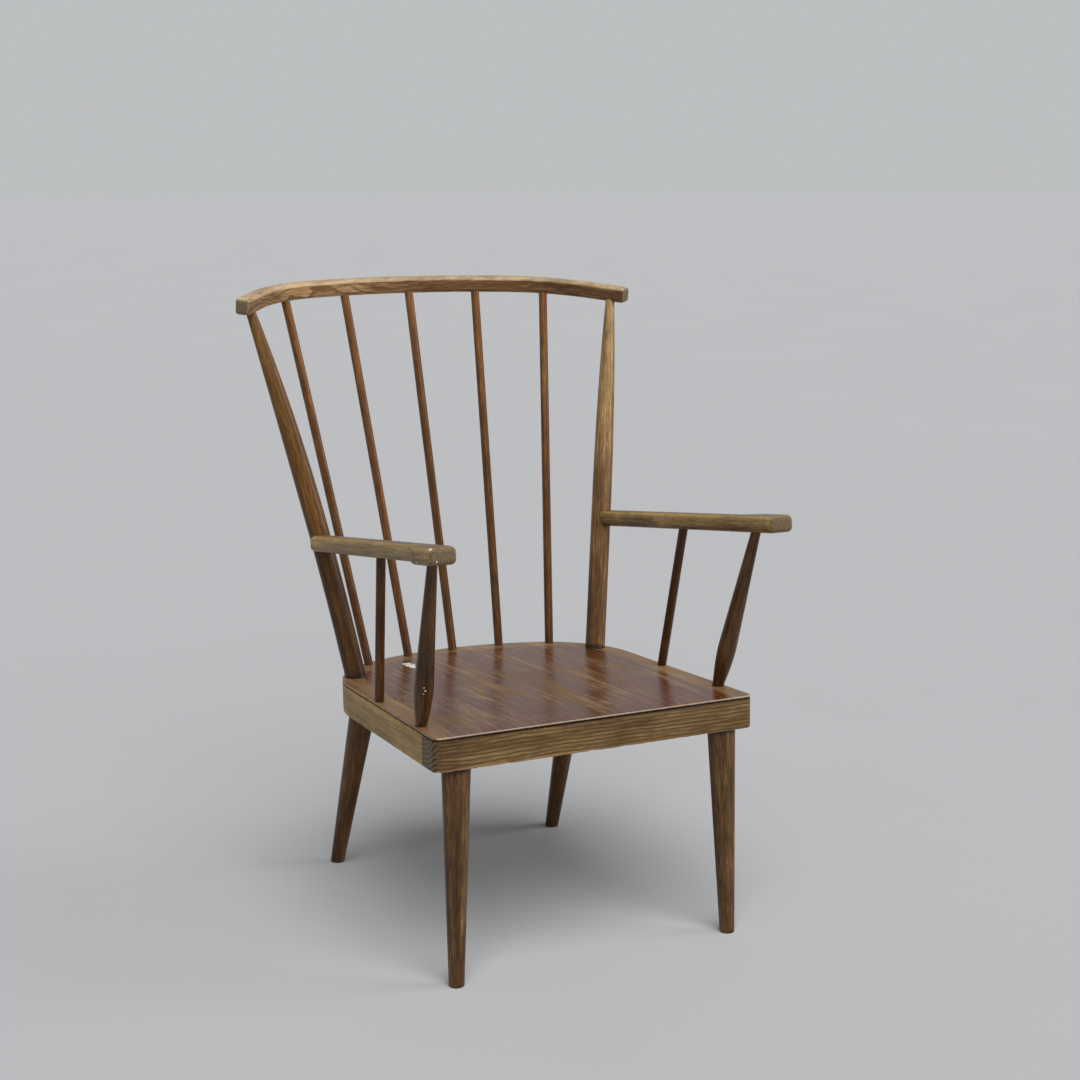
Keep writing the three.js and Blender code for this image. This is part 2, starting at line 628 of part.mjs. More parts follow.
// The origin is on the floor under the middle of the chair's bounding box.
const box = new THREE.Box3().setFromObject(chair);
const middle = box.getCenter(new THREE.Vector3());
chair.position.set(-middle.x, -middle.y, -box.min.z);

export default chair;
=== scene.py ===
"""Looks of a worn spindle-back armchair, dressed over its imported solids."""

import logging
import math
from dataclasses import dataclass, field
from enum import Enum
from typing import Any, Callable, Sequence

import bmesh
import bpy
from mathutils import Matrix, Vector, noise


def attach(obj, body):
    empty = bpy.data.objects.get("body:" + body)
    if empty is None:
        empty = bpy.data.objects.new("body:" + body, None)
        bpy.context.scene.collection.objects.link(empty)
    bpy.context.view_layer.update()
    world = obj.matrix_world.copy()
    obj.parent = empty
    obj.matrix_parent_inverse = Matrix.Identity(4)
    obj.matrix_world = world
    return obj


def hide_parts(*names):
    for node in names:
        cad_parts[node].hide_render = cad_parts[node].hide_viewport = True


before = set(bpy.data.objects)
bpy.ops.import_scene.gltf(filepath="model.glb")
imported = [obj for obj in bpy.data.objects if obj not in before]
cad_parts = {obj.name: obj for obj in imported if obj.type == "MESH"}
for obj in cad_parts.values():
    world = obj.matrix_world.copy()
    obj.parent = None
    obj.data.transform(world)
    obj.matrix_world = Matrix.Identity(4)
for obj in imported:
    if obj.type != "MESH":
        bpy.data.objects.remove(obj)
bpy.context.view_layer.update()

LOG = logging.getLogger("armchair")
BODY = "root"
MM = 0.001

Tone = tuple[float, float, float]
Plan = tuple[float, float]
Profile = list[tuple[float, float]]

# Where the front rail's face stands in the shared frame. The sizes below count y from that face.
FRONT_FACE_Y = -330.12 * MM


def placed(x: float, y: float, z: float) -> Vector:
    """Returns a point of the shared frame from x, y behind the front rail's face, and z."""
    return Vector((x, y + FRONT_FACE_Y, z))


def linear(tone: Tone) -> tuple[float, float, float, float]:
    """Turns a display colour into the linear colour that a shader takes.

    Args:
        tone: Red, green and blue from 0 to 255.

    Returns:
        The linear red, green, blue and an alpha of one.
    """
    channels = []
    for value in tone:
        share = value / 255.0
        channels.append(share / 12.92 if share <= 0.04045 else ((share + 0.055) / 1.055) ** 2.4)
    return (channels[0], channels[1], channels[2], 1.0)


def smooth_noise(point: Vector, size: float, seed: float = 0.0) -> float:
    """Returns soft noise from -1 to 1 whose blobs are about size metres across."""
    return noise.noise(point / size + Vector((seed, seed * 1.7, seed * 0.6)))


def clamped(value: float, low: float = 0.0, high: float = 1.0) -> float:
    """Returns the value, held between low and high."""
    return max(low, min(high, value))


def eased(share: float) -> float:
    """Returns a share from 0 to 1 that starts and ends softly."""
    return share * share * (3 - 2 * share)


class Mark(Enum):
    """Names of the values that a mesh carries for its finish."""

    GRAIN = "grain"
    EDGE = "edge"
    END = "end"
    RIM = "rim"
    # Grime and painted contact shade in the joints and gaps.
    GRIME_AND_SHADE = "dirt"
    WEAR = "wear"


class Graph:
    """The shader nodes of one material, added and linked by short calls."""

    def __init__(self, name: str) -> None:
        """Starts an empty node tree on a new material of that name."""
        self.material = bpy.data.materials.new(name)
        self.material.use_nodes = True
        self.tree = self.material.node_tree
        self.tree.nodes.clear()

    def put(self, socket: bpy.types.NodeSocket, value: Any) -> None:
        """Fills one socket.

        Args:
            socket: The input socket to fill.
            value: An output socket, which is linked, or a constant, which is written there.
        """
        if isinstance(value, bpy.types.NodeSocket):
            self.tree.links.new(value, socket)
        else:
            socket.default_value = value

    def add(self, kind: str, inputs: dict[Any, Any], **settings: Any) -> bpy.types.Node:
        """Adds one node.

        Args:
            kind: Blender's name of the node type.
            inputs: Socket name or number to a constant or an output socket.
            **settings: Properties of the node itself.

        Returns:
            The new node.
        """
        node = self.tree.nodes.new(kind)
        for name, value in settings.items():
            setattr(node, name, value)
        for key, value in inputs.items():
            self.put(node.inputs[key], value)
        return node

    def mark(self, mark: Mark) -> Any:
        """Returns one of the values that the mesh carries."""
        return self.add("ShaderNodeAttribute", {}, attribute_name=mark.value).outputs["Fac"]

    def grain(self) -> Any:
        """Returns the place in the timber that the mesh carries, with z along the fibres."""
        return self.add("ShaderNodeAttribute", {}, attribute_name=Mark.GRAIN.value).outputs["Vector"]

    def place(self) -> Any:
        """Returns the place in the object's own frame."""
        return self.add("ShaderNodeTexCoord", {}).outputs["Object"]

    def stretch(self, vector: Any, scale: Sequence[float], shift: Sequence[float] = (0, 0, 0)) -> Any:
        """Returns the vector scaled along each axis, then shifted."""
        inputs = {"Vector": vector, "Scale": tuple(scale), "Location": tuple(shift)}
        return self.add("ShaderNodeMapping", inputs).outputs["Vector"]

    def noise(self, vector: Any, scale: Sequence[float], detail: float = 2.0, roughness: float = 0.5,
              warp: float = 0.0, shift: Sequence[float] = (0, 0, 0)) -> Any:
        """Adds soft noise.

        Args:
            vector: The place that it is read at.
            scale: How many of its cells lie in a metre along each axis.
            detail: How many finer layers lie over the first.
            roughness: How strong the finer layers are.
            warp: How far its shapes are twisted.
            shift: Cells by which it is moved along each axis.

        Returns:
            A value from 0 to 1, about 0.5 on average.
        """
        inputs = {"Vector": self.stretch(vector, scale, shift), "Scale": 1.0, "Detail": detail,
                  "Roughness": roughness, "Distortion": warp}
        return self.add("ShaderNodeTexNoise", inputs).outputs["Fac"]

    def swing(self, value: Any, reach: float = 1.0) -> Any:
        """Returns noise moved to swing about zero, times its reach."""
        return self.math("MULTIPLY", self.math("SUBTRACT", value, 0.5), reach)

    def blend(self, share: float, first: Any, second: Any) -> Any:
        """Returns two values added up, the first by its share and the second by the rest."""
        return self.math("ADD", self.math("MULTIPLY", first, share), self.math("MULTIPLY", second, 1 - share))

    def math(self, operation: str, first: Any, second: Any = 0.0) -> Any:
        """Returns the result of one arithmetic operation."""
        return self.add("ShaderNodeMath", {0: first, 1: second}, operation=operation).outputs[0]

    def step(self, value: Any, low: float, high: float) -> Any:
        """Returns 0 below low and 1 above high, with a soft change between; low may be the larger."""
        inputs = {"Value": value, "From Min": low, "From Max": high, "To Min": 0.0, "To Max": 1.0}
        return self.add("ShaderNodeMapRange", inputs, interpolation_type="SMOOTHSTEP").outputs["Result"]

    def spread(self, value: Any, low: float, high: float) -> Any:
        """Returns a value from 0 to 1 spread evenly from low to high."""
        inputs = {"Value": value, "From Min": 0.0, "From Max": 1.0, "To Min": low, "To Max": high}
        return self.add("ShaderNodeMapRange", inputs).outputs["Result"]

    def mix(self, share: Any, first: Any, second: Any, blend: str = "MIX") -> Any:
        """Returns two colours mixed, the second by its share."""
        settings = {"data_type": "RGBA", "blend_type": blend}
        return self.add("ShaderNodeMix", {0: share, 6: first, 7: second}, **settings).outputs[2]

    def ramp(self, value: Any, stops: Sequence[tuple[float, Tone]]) -> Any:
        """Reads a colour off a ramp.

        Args:
            value: Where on the ramp to read, from 0 to 1.
            stops: The ramp's (position, display colour) pairs.

        Returns:
            The colour.
        """
        node = self.add("ShaderNodeValToRGB", {"Fac": value})
        elements = node.color_ramp.elements
        while len(elements) < len(stops):
            elements.new(1.0)
        for element, (position, tone) in zip(elements, stops):
            element.position = position
            element.color = linear(tone)
        return node.outputs["Color"]

    def surface(self, inputs: dict[str, Any]) -> bpy.types.Material:
        """Ends the graph in one shader.

        Args:
            inputs: The shader's socket names to constants or output sockets.

        Returns:
            The material.
        """
        shader = self.add("ShaderNodeBsdfPrincipled", inputs)
        self.add("ShaderNodeOutputMaterial", {"Surface": shader.outputs["BSDF"]})
        return self.material


class Finish:
    """A look that becomes a material on its first use."""

    name: str

    def build(self) -> bpy.types.Material:
        """Makes the material's nodes and returns the material."""
        raise NotImplementedError

    def material(self) -> bpy.types.Material:
        """Returns the finish as a material, built on its first use."""
        known = bpy.data.materials.get(self.name)
        return known if known is not None else self.build()


@dataclass(frozen=True)
class PaintSpot:
    """A dried spot of white paint.

    Attributes:
        centre: Its middle in the shared frame, in metres.
        radius: Its mean radius in metres.
    """

    centre: tuple[float, float, float]
    radius: float


@dataclass(frozen=True)
class PaintSpots:
    """Dried spots of white paint that lie on one finish.

    Attributes:
        spots: The spots.
        tone: Their colour.
        raggedness: How far their rims stray, as a share of the radius.
        rim: Where a spot's rim starts to fade, as a share of its reach.
    """

    spots: tuple[PaintSpot, ...] = ()
    tone: Tone = (232, 230, 224)
    raggedness: float = 0.9
    rim: float = 0.88

    def cover(self, graph: Graph, colour: Any) -> Any:
        """Lays the spots over a colour.

        Args:
            graph: The material's graph.
            colour: The colour below the paint.

        Returns:
            The colour with the spots on it.
        """
        if not self.spots:
            return colour
        place = graph.place()
        ragged = graph.noise(place, (260, 260, 260), detail=3)
        covered: Any = 0.0
        for spot in self.spots:
            inputs = {0: place, 1: spot.centre}
            reach = graph.add("ShaderNodeVectorMath", inputs, operation="DISTANCE").outputs["Value"]
            swing = graph.math("MULTIPLY", ragged, 2 * self.raggedness * spot.radius)
            edge = graph.math("ADD", reach, swing)
            far = spot.radius * (1 + self.raggedness)
            covered = graph.math("MAXIMUM", graph.step(edge, far, far * self.rim), covered)
        return graph.mix(covered, colour, linear(self.tone))


@dataclass(frozen=True)
class EndGrain:
    """The look of timber cut across: growth rings round a pith beside the piece.

    Attributes:
        dark: Colour of the late wood.
        light: Colour of the early wood.
        pith: Place of the pith across the grain, in metres.
        ring: Size of the rings in metres.
        ring_share: How strongly the rings show, against the dirt in the pores.
    """

    dark: Tone
    light: Tone
    pith: tuple[float, float] = (0.03, 0.04)
    ring: float = 3.2 * MM
    ring_share: float = 0.4

    def colour(self, graph: Graph, grain: Any) -> Any:
        """Draws the cut end.

        Args:
            graph: The material's graph.
            grain: Place in the timber, with z along the fibres.

        Returns:
            The colour of the cut end.
        """
        scale = (1 / self.ring, 1 / self.ring, 0.0)
        shift = (-self.pith[0] / self.ring, -self.pith[1] / self.ring, 0.0)
        inputs = {"Vector": graph.stretch(grain, scale, shift), "Scale": 0.31, "Distortion": 1.6,
                  "Detail": 3.0, "Detail Scale": 0.4}
        rings = graph.add("ShaderNodeTexWave", inputs, wave_type="RINGS", rings_direction="Z").outputs["Fac"]
        dirt = graph.noise(grain, (330, 330, 0), detail=4, roughness=0.7)
        value = graph.blend(self.ring_share, rings, dirt)
        return graph.ramp(value, ((0.34, self.dark), (0.66, self.light)))


@dataclass(frozen=True)
class TimberFinish(Finish):
    """Stained and varnished timber with its wear.

    Attributes:
        name: Name of the material.
        dark: Stain colour of the darkest fibres.
        mid: Stain colour of most of the surface.
        light: Stain colour of the palest fibres.
        worn: Colour of timber with the finish rubbed off.
        rings: How strongly growth rings draw lines, from 0 to 1.
        ring_gap: Distance between the rings in metres.
        ring_lean: Direction across the grain in which the rings follow each other, in radians.
        ring_wander: How many rings a line strays.
        ring_sway: Length along the grain in which it strays, in metres.
        patch_level: Noise level above which the finish is worn off; lower wears more.
        patch_share: How far a worn patch goes to the worn colour.
        edge_share: How far a worn edge goes to the worn colour.
        flecks: How dark the short pores are.
        roughness: Roughness where the varnish is whole and where it is worn.
        coat: Weight of the varnish layer.
        mottle: Tint of the blotches that lie over the whole surface.
        grime_and_contact_shade: Colour of the grime and the painted contact shade in the joints.
        end: Look of the cut ends, if the piece shows them.
        spots: Dried paint on the finish.
        WEAR_REACH: How far the wear that the mesh marks moves the noise behind stain and patches.
    """

    WEAR_REACH = 0.1

    name: str
    dark: Tone
    mid: Tone
    light: Tone
    worn: Tone
    rings: float = 0.3
    ring_gap: float = 4 * MM
    ring_lean: float = 1.2
    ring_wander: float = 6.0
    ring_sway: float = 0.6
    patch_level: float = 0.6
    patch_share: float = 0.6
    edge_share: float = 0.7
    flecks: float = 0.5
    roughness: tuple[float, float] = (0.38, 0.6)
    coat: float = 0.15
    mottle: Tone = (205, 200, 194)
    grime_and_contact_shade: Tone = (26, 19, 13)
    end: EndGrain | None = None
    spots: PaintSpots = field(default_factory=PaintSpots)

    def figure(self, graph: Graph, grain: Any) -> tuple[Any, Any, Any]:
        """Draws the timber's own figure.

        Args:
            graph: The material's graph.
            grain: Place in the timber, with z along the fibres.

        Returns:
            The fine fibres, the wider streaks and the dark lines of the growth rings.
        """
        fibres = graph.noise(grain, (780, 780, 60), detail=2, roughness=0.6)
        lines = graph.noise(grain, (330, 330, 20), detail=2.5, roughness=0.65)
        streaks = graph.noise(grain, (110, 110, 3.6), detail=4, roughness=0.62, warp=0.2)
        swell = graph.noise(grain, (15, 15, 1 / self.ring_sway), detail=2.5, roughness=0.5)
        across = (math.cos(self.ring_lean) / self.ring_gap, math.sin(self.ring_lean) / self.ring_gap, 0.0)
        order = graph.add("ShaderNodeVectorMath", {0: grain, 1: across}, operation="DOT_PRODUCT")
        strayed = graph.math("MULTIPLY", swell, self.ring_wander)
        turns = graph.math("ADD", order.outputs["Value"], strayed)
        late = graph.step(graph.math("FRACT", turns), 0.45, 0.95)
        return graph.blend(0.5, fibres, lines), streaks, late

    def worn_patches(self, graph: Graph, cloud: Any, streaks: Any, fibres: Any) -> Any:
        """Finds where the finish is rubbed through.

        Args:
            graph: The material's graph.
            cloud: Soft noise that says where the finish is weak.
            streaks: The timber's streaks, which make a patch ragged.
            fibres: The timber's fine fibres, which do so too.

        Returns:
            The share of bare timber, from 0 to 1.
        """
        rubbed = graph.math("ADD", cloud, graph.swing(streaks, 0.5))
        rubbed = graph.math("ADD", rubbed, graph.swing(fibres, 0.4))
        return graph.step(rubbed, self.patch_level, self.patch_level + 0.12)

    def worn_edges(self, graph: Graph, grain: Any, scale: Sequence[float]) -> Any:
        """Finds where the marked edges are rubbed through; the mark also carries the painted highlight of the
        panel's front edge and the painted light on the crest rail's top.

        Args:
            graph: The material's graph.
            grain: Place in the timber, with z along the fibres.
            scale: How many chips lie in a metre along each axis.

        Returns:
            The share of the rubbed colour, from 0 to edge_share.
        """
        chips = graph.noise(grain, scale, detail=4, roughness=0.7)
        rubbed = graph.math("ADD", graph.mark(Mark.EDGE), graph.swing(chips))
        return graph.math("MULTIPLY", graph.step(rubbed, 0.5, 0.9), self.edge_share)

    def lay_grime_and_shade(self, graph: Graph, grain: Any, colour: Any) -> Any:
        """Lays grime and painted contact shade in the joints that the mesh marks.

        Args:
            graph: The material's graph.
            grain: Place in the timber, with z along the fibres.
            colour: The colour below the grime and shade.

        Returns:
            The colour with the grime and painted shade on it.
        """
        grit = graph.noise(grain, (240, 240, 240), detail=3, roughness=0.65)
        # Painted contact shade with grime: darkens the joints and gaps where shade falls.
        held = graph.math("ADD", graph.mark(Mark.GRIME_AND_SHADE), graph.swing(grit))
        share = graph.math("MULTIPLY", graph.step(held, 0.3, 0.85), 0.85)
        return graph.mix(share, colour, linear(self.grime_and_contact_shade))

    def build(self) -> bpy.types.Material:
        """Makes the material's nodes and returns the material."""
        graph = Graph(self.name)
        grain = graph.grain()
        fibres, streaks, late = self.figure(graph, grain)
        worn = graph.math("MULTIPLY", graph.mark(Mark.WEAR), self.WEAR_REACH)
        plain = graph.math("ADD", graph.blend(0.38, streaks, fibres), worn)
        colour = graph.ramp(plain, ((0.39, self.dark), (0.5, self.mid), (0.6, self.light)))
        ringed = graph.math("MULTIPLY", late, self.rings)
        colour = graph.mix(ringed, colour, linear(self.dark))

        cloud = graph.noise(grain, (17, 17, 7), detail=5, roughness=0.65)
        patch = self.worn_patches(graph, graph.math("ADD", cloud, worn), streaks, fibres)
        bare = graph.mix(ringed, linear(self.worn), linear(self.mid))
        colour = graph.mix(graph.math("MULTIPLY", patch, self.patch_share), colour, bare)

        edge = self.worn_edges(graph, grain, (95, 95, 38))
        colour = graph.mix(edge, colour, linear(self.worn))

        pores = graph.noise(grain, (640, 640, 42), detail=1.5)
        pore = graph.math("MULTIPLY", graph.step(pores, 0.56, 0.7), self.flecks)
        colour = graph.mix(pore, colour, graph.mix(0.6, colour, linear(self.dark)))

        haze = graph.noise(grain, (26, 26, 11), detail=4, roughness=0.6)
        shade = graph.ramp(haze, ((0.33, self.mottle), (0.62, (255, 255, 255))))
        colour = graph.mix(1.0, colour, shade, "MULTIPLY")
        if self.end is not None:
            cut = graph.mark(Mark.END)
            colour = graph.mix(cut, colour, self.end.colour(graph, grain))
        colour = self.spots.cover(graph, self.lay_grime_and_shade(graph, grain, colour))

        wear = graph.math("MAXIMUM", patch, edge)
        rough = graph.spread(wear, *self.roughness)
        rough = graph.math("ADD", rough, graph.swing(fibres, 0.3))
        relief = graph.math("SUBTRACT", fibres, graph.math("MULTIPLY", pore, 0.6))
        relief = graph.math("SUBTRACT", relief, graph.math("MULTIPLY", late, 0.3 * self.rings))
        bump = graph.add("ShaderNodeBump", {"Strength": 0.4, "Distance": 0.4 * MM, "Height": relief})
        return graph.surface({
            "Base Color": colour, "Roughness": rough, "Normal": bump.outputs["Normal"],
            "Specular IOR Level": 0.2, "Coat Weight": self.coat, "Coat Roughness": 0.22})


@dataclass(frozen=True)
class PanelFinish(TimberFinish):
    """Red-brown varnish on plywood, scratched along the grain and rubbed pale round the rim.

    Attributes:
        scratch: Colour of the scratches.
        rim_tone: Colour of the rubbed band round the rim.
        rim_width: Width of that band in metres.
        edge_wear_and_highlight_tone: Colour of the rubbed edge, which along the front is a painted highlight.
    """

    scratch: Tone = (176, 150, 114)
    rim_tone: Tone = (142, 112, 76)
    rim_width: float = 38 * MM
    edge_wear_and_highlight_tone: Tone = (206, 194, 174)

    def scratches(self, graph: Graph, grain: Any, lean: float, level: float) -> Any:
        """Draws one family of scratches.

        Args:
            graph: The material's graph.
            grain: Place on the panel, with z along the fibres.
            lean: Angle of the scratches to the grain in radians.
            level: Noise level above which there is a scratch; lower gives more.

        Returns:
            The share of the surface that is scratched, from 0 to 1.
        """
        turn = {"Vector": grain, "Rotation": (0.0, lean, 0.0)}
        turned = graph.add("ShaderNodeMapping", turn).outputs["Vector"]
        lines = graph.noise(turned, (420, 1, 3.8), detail=2.5, roughness=0.7)
        where = graph.noise(turned, (15, 1, 7), detail=3, roughness=0.6, shift=(3, 0, 1))
        value = graph.math("ADD", lines, graph.swing(where, 0.6))
        return graph.step(value, level, level + 0.05)

    def build(self) -> bpy.types.Material:
        """Makes the material's nodes and returns the material."""
        graph = Graph(self.name)
        grain = graph.grain()
        fibres, streaks, _ = self.figure(graph, grain)
        plain = graph.blend(0.5, streaks, fibres)
        colour = graph.ramp(plain, ((0.4, self.dark), (0.5, self.mid), (0.6, self.light)))

        cloud = graph.noise(grain, (12, 1, 5), detail=5, roughness=0.65)
        sat = graph.math("MULTIPLY", graph.mark(Mark.WEAR), self.WEAR_REACH)
        patch = self.worn_patches(graph, graph.math("ADD", cloud, sat), streaks, fibres)
        colour = graph.mix(graph.math("MULTIPLY", patch, self.patch_share), colour, linear(self.worn))

        rim = graph.mark(Mark.RIM)
        wander = graph.swing(cloud, 14 * MM)
        band = graph.step(graph.math("ADD", rim, wander), self.rim_width, self.rim_width * 0.8)
        band_share = graph.math("MULTIPLY", band, graph.spread(graph.step(plain, 0.38, 0.6), 0.25, 0.9))
        colour = graph.mix(band_share, colour, linear(self.rim_tone))

        fine = self.scratches(graph, grain, 0.04, 0.59)
        slant = self.scratches(graph, grain, -0.3, 0.68)
        scratched = graph.math("MAXIMUM", fine, slant)
        colour = graph.mix(graph.math("MULTIPLY", scratched, 0.62), colour, linear(self.scratch))

        # The pale edge colour is rubbed wear on the sides and a painted highlight along the front edge.
        edge = self.worn_edges(graph, grain, (80, 80, 60))
        colour = graph.mix(edge, colour, linear(self.edge_wear_and_highlight_tone))
        colour = self.spots.cover(graph, self.lay_grime_and_shade(graph, grain, colour))

        rubbed = graph.math("MAXIMUM", scratched, band_share)
        wear = graph.math("MAXIMUM", graph.math("MULTIPLY", patch, 0.6), rubbed)
        rough = graph.spread(wear, *self.roughness)
        rough = graph.math("ADD", rough, graph.swing(fibres, 0.2))
        relief = graph.math("SUBTRACT", graph.math("MULTIPLY", fibres, 0.5), scratched)
        bump = graph.add("ShaderNodeBump", {"Strength": 0.2, "Distance": 0.2 * MM, "Height": relief})
        return graph.surface({
            "Base Color": colour, "Roughness": rough, "Normal": bump.outputs["Normal"],
            "Specular IOR Level": 0.22, "Coat Weight": self.coat, "Coat Roughness": 0.2})


@dataclass(frozen=True)
class SteelFinish(Finish):
    """Dull steel of a wood screw, spotted with tarnish."""

    name: str = "dull_steel"
    bright: Tone = (132, 128, 122)
    tarnish: Tone = (74, 60, 48)

    def build(self) -> bpy.types.Material:
        """Makes the material's nodes and returns the material."""
        graph = Graph(self.name)
        place = graph.place()
        spots = graph.noise(place, (700, 700, 700), detail=5, roughness=0.7)
        colour = graph.ramp(spots, ((0.4, self.tarnish), (0.6, self.bright)))
        bump = graph.add("ShaderNodeBump", {"Strength": 0.3, "Distance": 0.1 * MM, "Height": spots})
        return graph.surface({
            "Base Color": colour, "Metallic": 0.9, "Roughness": graph.spread(spots, 0.6, 0.35),
            "Normal": bump.outputs["Normal"]})


@dataclass(frozen=True)
class DowelFinish(Finish):
    """Raw timber of the hidden dowels."""

    name: str = "raw_dowel"
    dark: Tone = (150, 118, 78)
    light: Tone = (196, 164, 120)

    def build(self) -> bpy.types.Material:
        """Makes the material's nodes and returns the material."""
        graph = Graph(self.name)
        place = graph.place()
        fibres = graph.noise(place, (900, 30, 900), detail=3)
        bump = graph.add("ShaderNodeBump", {"Strength": 0.3, "Distance": 0.2 * MM, "Height": fibres})
        return graph.surface({
            "Base Color": graph.ramp(fibres, ((0.35, self.dark), (0.65, self.light))),
            "Roughness": graph.spread(fibres, 0.75, 0.6), "Normal": bump.outputs["Normal"]})


@dataclass(frozen=True)
class SeatPlane:
    """The plane of the seat's top face, lower at the back.

    Attributes:
        height: Height of its front edge.
        tilt: How steeply it falls to the back, in radians.
    """

    height: float = 370 * MM
    tilt: float = math.radians(2.37)

    def matrix(self) -> Matrix:
        """Returns the move from the seat's own frame, z = 0 on its top face, to the shared frame."""
        return Matrix.Translation(placed(0.0, 0.0, self.height)) @ Matrix.Rotation(-self.tilt, 4, "X")

    def point(self, x: float, y: float, depth: float = 0.0) -> Vector:
        """Returns a point of the shared frame from a place on the seat and a height over its top face."""
        return self.matrix() @ Vector((x, y, depth))


@dataclass(frozen=True)
class SeatOutline:
    """The seat's edge in plan: tapered sides, rear corner arcs and a back arc, each tangent to the next.

    Attributes:
        half_width: Half the seat's width along its front.
        taper: How far each side comes in for each metre towards the back.
        back: How far the middle of the back lies behind the front.
        back_radius: Radius of the back arc.
        corner_radius: Radius of the rear corner arcs.
        front_radius: Radius of the front corners.
    """

    half_width: float = 259 * MM
    taper: float = 0.033
    back: float = 540 * MM
    back_radius: float = 380 * MM
    corner_radius: float = 165 * MM
    front_radius: float = 12 * MM

    def lean(self) -> float:
        """Returns the angle of the sides to the y axis."""
        return math.atan(self.taper)

    def corner(self) -> tuple[float, float, float]:
        """Finds the right corner arc.

        Returns:
            Its centre's x and y, and the angle from +y where it meets the back arc.
        """
        lean = self.lean()
        along = Vector((-math.sin(lean), math.cos(lean)))
        inward = Vector((-math.cos(lean), -math.sin(lean)))
        centre_y = self.back - self.back_radius
        base = Vector((self.half_width, -centre_y)) + inward * self.corner_radius
        half = base.dot(along)
        reach = self.back_radius - self.corner_radius
        run = -half + math.sqrt(half * half - base.length_squared + reach * reach)
        centre = base + along * run
        return centre.x, centre.y + centre_y, math.atan2(centre.x, centre.y)

    def side_x(self, y: float, inset: float) -> float:
        """Returns the x of the right side at a y, moved in by inset."""
        return self.half_width - self.taper * y - inset / math.cos(self.lean())

    def rim(self, x: float, y: float) -> float:
        """Measures how far a place on the seat lies from its side and back edges.

        Args:
            x: Its x on the seat.
            y: Its y on the seat.

        Returns:
            The distance inward from the nearest of those edges.
        """
        corner_x, corner_y, blend = self.corner()
        across, behind = abs(x) - corner_x, y - corner_y
        angle = math.atan2(across, behind)
        gap = (self.side_x(y, 0.0) - abs(x)) * math.cos(self.lean())
        if behind > 0.0 and angle > blend:
            return min(gap, self.corner_radius - math.hypot(across, behind))
        centre_y = self.back - self.back_radius
        return min(gap, self.back_radius - math.hypot(x, y - centre_y))

    def half_length(self, front: float) -> float:
        """Measures one half of the edge.

        Args:
            front: The y where the side is taken to end.

        Returns:
            The distance along the edge from the middle of the back to the side's end.
        """
        _, corner_y, blend = self.corner()
        arcs = self.back_radius * blend + self.corner_radius * (math.pi / 2 - self.lean() - blend)
        tangent_y = corner_y + self.corner_radius * math.sin(self.lean())
        return arcs + (tangent_y - front) / math.cos(self.lean())

    def at(self, station: float, inset: float, front: float = 0.0) -> Plan:
        """Finds a place inside the edge.

        Args:
            station: Distance along the edge from the middle of the back, positive on the right.
            inset: Distance inward from the edge.
            front: The y where the side is taken to end.

        Returns:
            The x and y of the place.
        """
        corner_x, corner_y, blend = self.corner()
        side, run = math.copysign(1.0, station), abs(station)
        back_length = self.back_radius * blend
        turn = math.pi / 2 - self.lean() - blend
        arcs = back_length + self.corner_radius * turn
        if run <= back_length:
            angle, radius = run / self.back_radius, self.back_radius - inset
            return side * radius * math.sin(angle), self.back - self.back_radius + radius * math.cos(angle)
        radius = self.corner_radius - inset
        if run <= arcs:
            angle = blend + (run - back_length) / self.corner_radius
            return side * (corner_x + radius * math.sin(angle)), corner_y + radius * math.cos(angle)
        share = (run - arcs) / (self.half_length(front) - arcs)
        tangent_y = corner_y + radius * math.sin(self.lean())
        y = tangent_y + (front - tangent_y) * share
        return side * self.side_x(y, inset), y


SEAT = SeatPlane()
OUTLINE = SeatOutline()


def spun(profile: Profile, sides: int) -> bmesh.types.BMesh:
    """Spins a profile round the z axis.

    Args:
        profile: (radius, height) points, the first and last on the axis.
        sides: Steps of a full turn.

    Returns:
        A closed mesh along z.
    """
    bm = bmesh.new()
    verts = [bm.verts.new((radius, 0.0, height)) for radius, height in profile]
    edges = [bm.edges.new(pair) for pair in zip(verts, verts[1:])]
    bmesh.ops.spin(
        bm, geom=verts + edges, cent=(0, 0, 0), axis=(0, 0, 1), dvec=(0, 0, 0),
        angle=2 * math.pi, steps=sides, use_merge=True)
    bmesh.ops.remove_doubles(bm, verts=bm.verts[:], dist=1e-6)
    bmesh.ops.recalc_face_normals(bm, faces=bm.faces[:])
    return bm


def block(size: Vector) -> bmesh.types.BMesh:
    """Returns a box of that size centred on the origin."""
    bm = bmesh.new()
    bmesh.ops.create_cube(bm, size=1.0)
    bmesh.ops.scale(bm, vec=size, verts=bm.verts[:])
    return bm


def plate(points: Sequence[Plan], bottom: float, top: float) -> bmesh.types.BMesh:
    """Makes a flat board.

    Args:
        points: Its outline in plan.
        bottom: Height of its lower face.
        top: Height of its upper face.

    Returns:
        A closed mesh.
    """
    bm = bmesh.new()
    face = bm.faces.new([bm.verts.new((x, y, bottom)) for x, y in points])
    raised = bmesh.ops.extrude_face_region(bm, geom=[face])["geom"]
    lifted = [v for v in raised if isinstance(v, bmesh.types.BMVert)]
    bmesh.ops.translate(bm, vec=(0, 0, top - bottom), verts=lifted)
    bmesh.ops.recalc_face_normals(bm, faces=bm.faces[:])
    return bm


